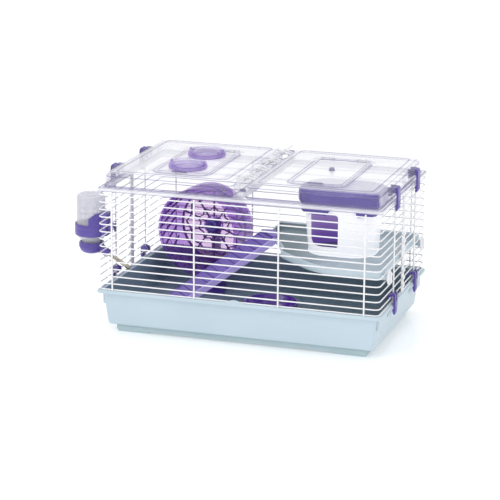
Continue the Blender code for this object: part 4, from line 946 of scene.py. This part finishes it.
def wheel():
    P = Piece()
    D = WD
    # tread: outer skin with a rolled front lip
    wring(P, [(70.2, 0.3), (70.8, 0.0), (75.0, 0.0), (76.0, 0.8), (76.0, D - 1.2), (75.2, D), (62.5, D), (62.0, D - 2.0), (72.4, D - 2.2), (74.2, D - 4.0), (74.2, 3.4), (73.0, 2.2), (70.2, 2.0)], 0)
    # slats the animal runs on, set a little askew
    n = 26
    for k in range(n):
        a = 2 * math.pi * k / n
        rows = []
        for j in range(5):
            y = 3.6 + (D - 8.4) * j / 4.0
            aa = a - 0.34 * j / 4.0
            rows.append([wpol(74.4, aa - 0.024, y), wpol(74.4, aa + 0.024, y), wpol(72.4, aa + 0.016, y), wpol(72.4, aa - 0.016, y)])
        loft(P, rows, 2)
    # one shallow hoop round the outside
    wring(P, [(75.8, D * 0.5 - 0.9), (76.4, D * 0.5 - 0.5), (76.4, D * 0.5 + 0.5), (75.8, D * 0.5 + 0.9)], 0, 96)
    # back: thin film with the moulded web standing proud of it
    wring(P, [(15.0, D - 1.9), (62.3, D - 1.9), (62.3, D - 0.6), (15.0, D - 0.6)], 1)
    wring(P, [(59.8, D - 3.6), (62.6, D - 3.6), (62.6, D + 0.0), (59.8, D + 0.0)], 2)
    S = 10
    for k in range(S):
        a = 2 * math.pi * (k + 0.5) / S
        wbar(P, 14.0, a, 61.0, a, 2.5, D - 0.4, D - 3.8, 2)
        a1 = 2 * math.pi * (k + 1.5) / S
        am = (a + a1) / 2
        wbar(P, 46.5, a, 54.5, am, 2.4, D - 0.4, D - 3.6, 2, 0.0)
        wbar(P, 54.5, am, 46.5, a1, 2.4, D - 0.4, D - 3.6, 2, 0.0)
        wbar(P, 32.5, a, 26.0, am, 2.1, D - 0.4, D - 3.4, 2, 0.0)
        wbar(P, 26.0, am, 32.5, a1, 2.1, D - 0.4, D - 3.4, 2, 0.0)
    # hub barrel
    wring(P, [(4.5, D - 9), (15.0, D - 9), (16.6, D - 7.6), (17.4, D - 2.0), (17.4, D - 0.3), (13.0, D), (4.5, D)], 0, 64)
    wring(P, [(4.5, D - 9.2), (8.2, D - 9.2), (8.2, D - 8.8), (4.5, D - 8.8)], 2, 48)
    P.make("wheel_body", "wheel", ["wheel_shell", "wheel_film", "wheel_web"], ["wheel_drum"], smooth=45)
    P = Piece()
    wring(P, [(4.5, D - 13.6), (7.0, D - 14.6), (9.0, D - 14.6), (11.0, D - 13.6), (11.9, D - 12.0), (12.2, D - 9.5), (4.5, D - 9.5)], 0, 64)
    P.make("wheel_cap", "wheel", ["purple"], ["wheel_hub_cap"], smooth=45)
    # stand
    P = Piece()
    zf = 17.8 - WC.z
    y0, y1 = D + 4.5, D + 8.0
    post = [(-14, zf + 2), (14, zf + 2), (9.2, zf + 30), (8.4, -20)] + arc(0, 2.6, 8.6, 0, 180, 14) + [(-8.4, -20), (-9.2, zf + 30)]
    loft(P, [[W(x, y0, z) for x, z in inset(post, 0.6)], [W(x, y0 + 0.6, z) for x, z in post], [W(x, y1 - 0.6, z) for x, z in post], [W(x, y1, z) for x, z in inset(post, 0.6)]])
    rib = fillet([(-1.2, zf + 3), (1.2, zf + 3), (1.2, -10), (-1.2, -10)], 0.5)
    loft(P, [[W(x - 6, y0 - 0.9, z) for x, z in rib], [W(x - 6, y0 + 0.2, z) for x, z in rib]])
    loft(P, [[W(x + 6, y0 - 0.9, z) for x, z in rib], [W(x + 6, y0 + 0.2, z) for x, z in rib]])
    foot = fillet([(-46, 12), (-38, 4), (38, 4), (46, 12), (22, y1 - 4), (12, y1 - 0.3), (-12, y1 - 0.3), (-22, y1 - 4)], 5, 4)
    loft(P, [[W(x, y, zf) for x, y in foot], [W(x, y, zf + 2.6) for x, y in foot], [W(x, y, zf + 3.5) for x, y in inset(foot, 1.0)]])
    P.make("wheel_support", "cage", ["purple"], ["wheel_stand"], smooth=40)


# ================================================================== bottle
def bottle():
    bx, by = -271.6, -93.0
    up = (0, 0, 1)
    P = Piece()
    prof = [(0, 216.6), (5, 216.6), (9.5, 217.2), (12.5, 218.8), (15.5, 220.0), (18.5, 219.9), (21.4, 218.8), (23.2, 217.0), (24.0, 214.4), (24.0, 196.0), (23.6, 194.8), (23.6, 193.4), (24.0, 192.2),
            (24.0, 153.4), (23.5, 150.0), (22.2, 146.6), (19.6, 143.0), (17.4, 141.2), (16.4, 140.0), (16.4, 128.2), (14.9, 128.2), (14.9, 140.3), (16.4, 142.0), (18.8, 144.0), (21.2, 147.4), (22.5, 150.6), (22.8, 153.8),
            (22.8, 213.8), (21.8, 216.0), (20.2, 217.6), (17.8, 218.6), (15.2, 218.7), (12.9, 217.6), (9.9, 215.9), (5, 215.3), (0, 215.3)]
    turned(P, prof, (bx, by, 0), up, 72)
    for z in (160, 170, 180, 190, 200):
        turned(P, [(23.6, z - 0.4), (24.25, z), (23.6, z + 0.4)], (bx, by, 0), up, 72, closed=True)
    P.make("bottle_shell", "bottle", ["bottle_clear"], ["water_bottle"], smooth=50)
    P = Piece()
    cap = [(0, 118.4), (5.5, 118.5), (11.0, 119.4), (15.6, 121.4), (18.6, 124.4), (20.0, 128.0), (20.4, 131.0), (20.4, 137.8), (19.8, 138.4), (17.5, 138.4), (17.1, 137.6), (17.1, 124.2), (0, 124.0)]
    turned(P, cap, (bx, by, 0), up, 64)
    for k in range(40):
        a = 2 * math.pi * k / 40
        cx, cy = bx + 20.3 * math.cos(a), by + 20.3 * math.sin(a)
        tube(P, [(cx, cy, 130.0), (cx, cy, 137.2)], 0.55, 6)
    t = Vector((math.cos(math.radians(30)), 0, -math.sin(math.radians(30))))
    T0 = Vector((-236.0, by, 116.35))
    e0, e1 = T0 - t * 24.5, T0 - t * 5.4
    L = (e1 - e0).length
    turned(P, [(0, 0), (8.6, 0), (8.2, 4), (7.4, L * 0.55), (7.2, L * 0.8), (7.4, L - 2.2), (6.6, L - 0.6), (5.6, L), (3.9, L), (3.9, L - 8), (0, L - 8)], e0, t, 40)
    P.make("bottle_top", "cage", ["purple"], ["bottle_cap"], smooth=42)
    P = Piece()
    a, b = e1 - t * 8.6, T0 + t * 36.6
    L = (b - a).length
    turned(P, [(2.2, 0), (3.5, 0), (3.5, L - 9.0), (3.75, L - 8.0), (3.75, L - 6.5), (3.5, L - 5.5), (3.5, L - 3.0), (3.3, L - 1.2), (3.05, L), (2.9, L - 0.2), (2.9, L - 5.2), (2.2, L - 5.8)], a, t, 40, closed=True)
    P.make("spout_tube", "cage", ["steel"], ["drink_tube"], smooth=45)
    P = Piece()
    ring = [(24.7, 150.7), (26.0, 150.6), (26.9, 151.4), (27.3, 153.2), (27.4, 161.0), (27.1, 161.8), (27.4, 162.6), (27.4, 169.2), (26.9, 170.3), (25.4, 170.5), (24.7, 170.0)]
    turned(P, ring, (bx, by, 0), up, 72, closed=True)
    rows = []
    for k in range(33):
        a2 = math.radians(-78 + 156 * k / 32)
        top = 191.2 - 9.0 * max(0.0, (abs(a2) - 0.75) / 0.61) ** 1.6
        c, s = math.cos(a2), math.sin(a2)
        rows.append([(bx + 24.8 * c, by + 24.8 * s, 168.0), (bx + 27.2 * c, by + 27.2 * s, 168.0), (bx + 27.2 * c, by + 27.2 * s, top - 0.8), (bx + 26.6 * c, by + 26.6 * s, top), (bx + 25.4 * c, by + 25.4 * s, top), (bx + 24.8 * c, by + 24.8 * s, top - 0.8)])
    loft(P, rows)
    o = fillet([(-15, 152), (15, 152), (15, 189.5), (-15, 189.5)], 4, 5)
    loft(P, [[(-248.0, by + u, v) for u, v in o], [(-240.3, by + u, v) for u, v in o], [(-239.5, by + u, v) for u, v in inset(o, 0.8)]])
    for y in (-11.0, 5.0):
        o = fillet([(-240.0, 169.4), (-231.6, 169.4), (-231.6, 156.2), (-233.3, 156.2), (-233.3, 162.6), (-240.0, 162.6)], 0.6, 3)
        prism(P, o, lambda u, v, w, y=y: (u, by + y + w, v), 6.0)
    P.make("bottle_cradle", "cage", ["purple"], ["bottle_holder"], smooth=42)


# ================================================================== build
tray()
wires()
top_frame()
LEFT, RIGHT = hinge_slots()
lid("lid_shell_left", "lid_left", "left_lid", -1, -111.0, LEFT)
lid("lid_shell_right", "lid_right", "right_lid", 1, 117.0, RIGHT)
hatch("hatch_cover_left", "hatch_left", "left_hatch", -111.0)
hatch("hatch_cover_right", "hatch_right", "right_hatch", 117.0)
P = Piece()
turned(P, [(0, 271.2), (5.0, 271.2), (5.6, 271.6), (5.6, 272.2), (4.4, 273.0), (4.0, 273.8), (4.5, 274.8), (4.3, 275.6), (3.4, 276.0), (1.6, 276.1), (0, 275.7)], (117.0, -12.0, 0), (0, 0, 1), 40)
P.make("hatch_button", "right_hatch", ["clear_edge"], ["hatch_knob"], smooth=45)
ports()
lid_clips()
tray_clips()
shelf()
ramp_piece()
house()
bowl()
wheel()
bottle()

# CAD pieces kept as they are: only their finish is set
for n, ob in frame["nodes"].items():
    if ob.hide_render:
        continue
    ob.data.materials.clear()
    ob.data.materials.append(MAT["frame_clear" if n.startswith(("hatch_pin", "hinge_pin")) else SLOT[n]])
    for p in ob.data.polygons:
        p.use_smooth = True
    ob.data.set_sharp_from_angle(angle=math.radians(40))

# ================================================================== stage, light, camera
me = bpy.data.meshes.new("studio_floor")
bm = bmesh.new()
bmesh.ops.create_grid(bm, x_segments=2, y_segments=2, size=14.0)
bm.to_mesh(me)
bm.free()
floor = bpy.data.objects.new("studio_floor", me)
bpy.context.scene.collection.objects.link(floor)
m, nt, nd, ln, s = nodes_of("studio_floor")
n1 = noise(nt, 0.8, 2.0)
c = ramp(nt, n1.outputs["Fac"], [(0.3, (0.90, 0.905, 0.915)), (0.7, (0.915, 0.92, 0.93))])
ln.new(c.outputs["Color"], s.inputs["Base Color"])
s.inputs["Roughness"].default_value = 0.16
s.inputs["Specular IOR Level"].default_value = 0.35
s.inputs["Emission Color"].default_value = (1.0, 1.0, 1.0, 1.0)
s.inputs["Emission Strength"].default_value = 0.24
me.materials.append(m)

world = bpy.data.worlds.new("studio")
bpy.context.scene.world = world
world.use_nodes = True
bg = world.node_tree.nodes["Background"]
bg.inputs["Color"].default_value = (0.985, 0.99, 1.0, 1)
bg.inputs["Strength"].default_value = 0.84


def area(name, loc, target, size, power, colour=(1, 1, 1)):
    d = bpy.data.lights.new(name, "AREA")
    d.energy = power
    d.shape = "RECTANGLE"
    d.size, d.size_y = size
    d.color = colour
    o = bpy.data.objects.new(name, d)
    o.location = loc
    o.rotation_euler = (Vector(target) - Vector(loc)).to_track_quat("-Z", "Y").to_euler()
    bpy.context.scene.collection.objects.link(o)
    return o


area("key", (-1.3, -2.2, 2.1), (0, 0, 0.1), (1.6, 1.6), 22)
area("fill", (2.2, -1.4, 1.3), (0, 0, 0.1), (1.6, 1.6), 6)
area("top", (0.1, 0.4, 2.4), (0, 0, 0.2), (2.2, 1.6), 12)
bpy.context.scene.view_settings.view_transform = "Standard"

yaw, pit, roll = math.radians(18.023), math.radians(15.394), math.radians(0.379)
fwd = Vector((-math.sin(yaw) * math.cos(pit), math.cos(yaw) * math.cos(pit), -math.sin(pit)))
right = Vector((math.cos(yaw), math.sin(yaw), 0))
upv = right.cross(fwd)
r = right * math.cos(roll) + upv * math.sin(roll)
u = upv * math.cos(roll) - right * math.sin(roll)
cam = bpy.data.cameras.new("camera")
cam.lens = 2045.67 / 500.0 * 36.0
cam.sensor_width = 36.0
cam.sensor_fit = "HORIZONTAL"
cam.clip_end = 60
co = bpy.data.objects.new("camera", cam)
M = Matrix((r, u, -fwd)).transposed().to_4x4()
M.translation = Vector((0.99170 + OX * 0.001, -3.12643, 1.02630))
co.matrix_world = M
bpy.context.scene.collection.objects.link(co)
bpy.context.scene.camera = co
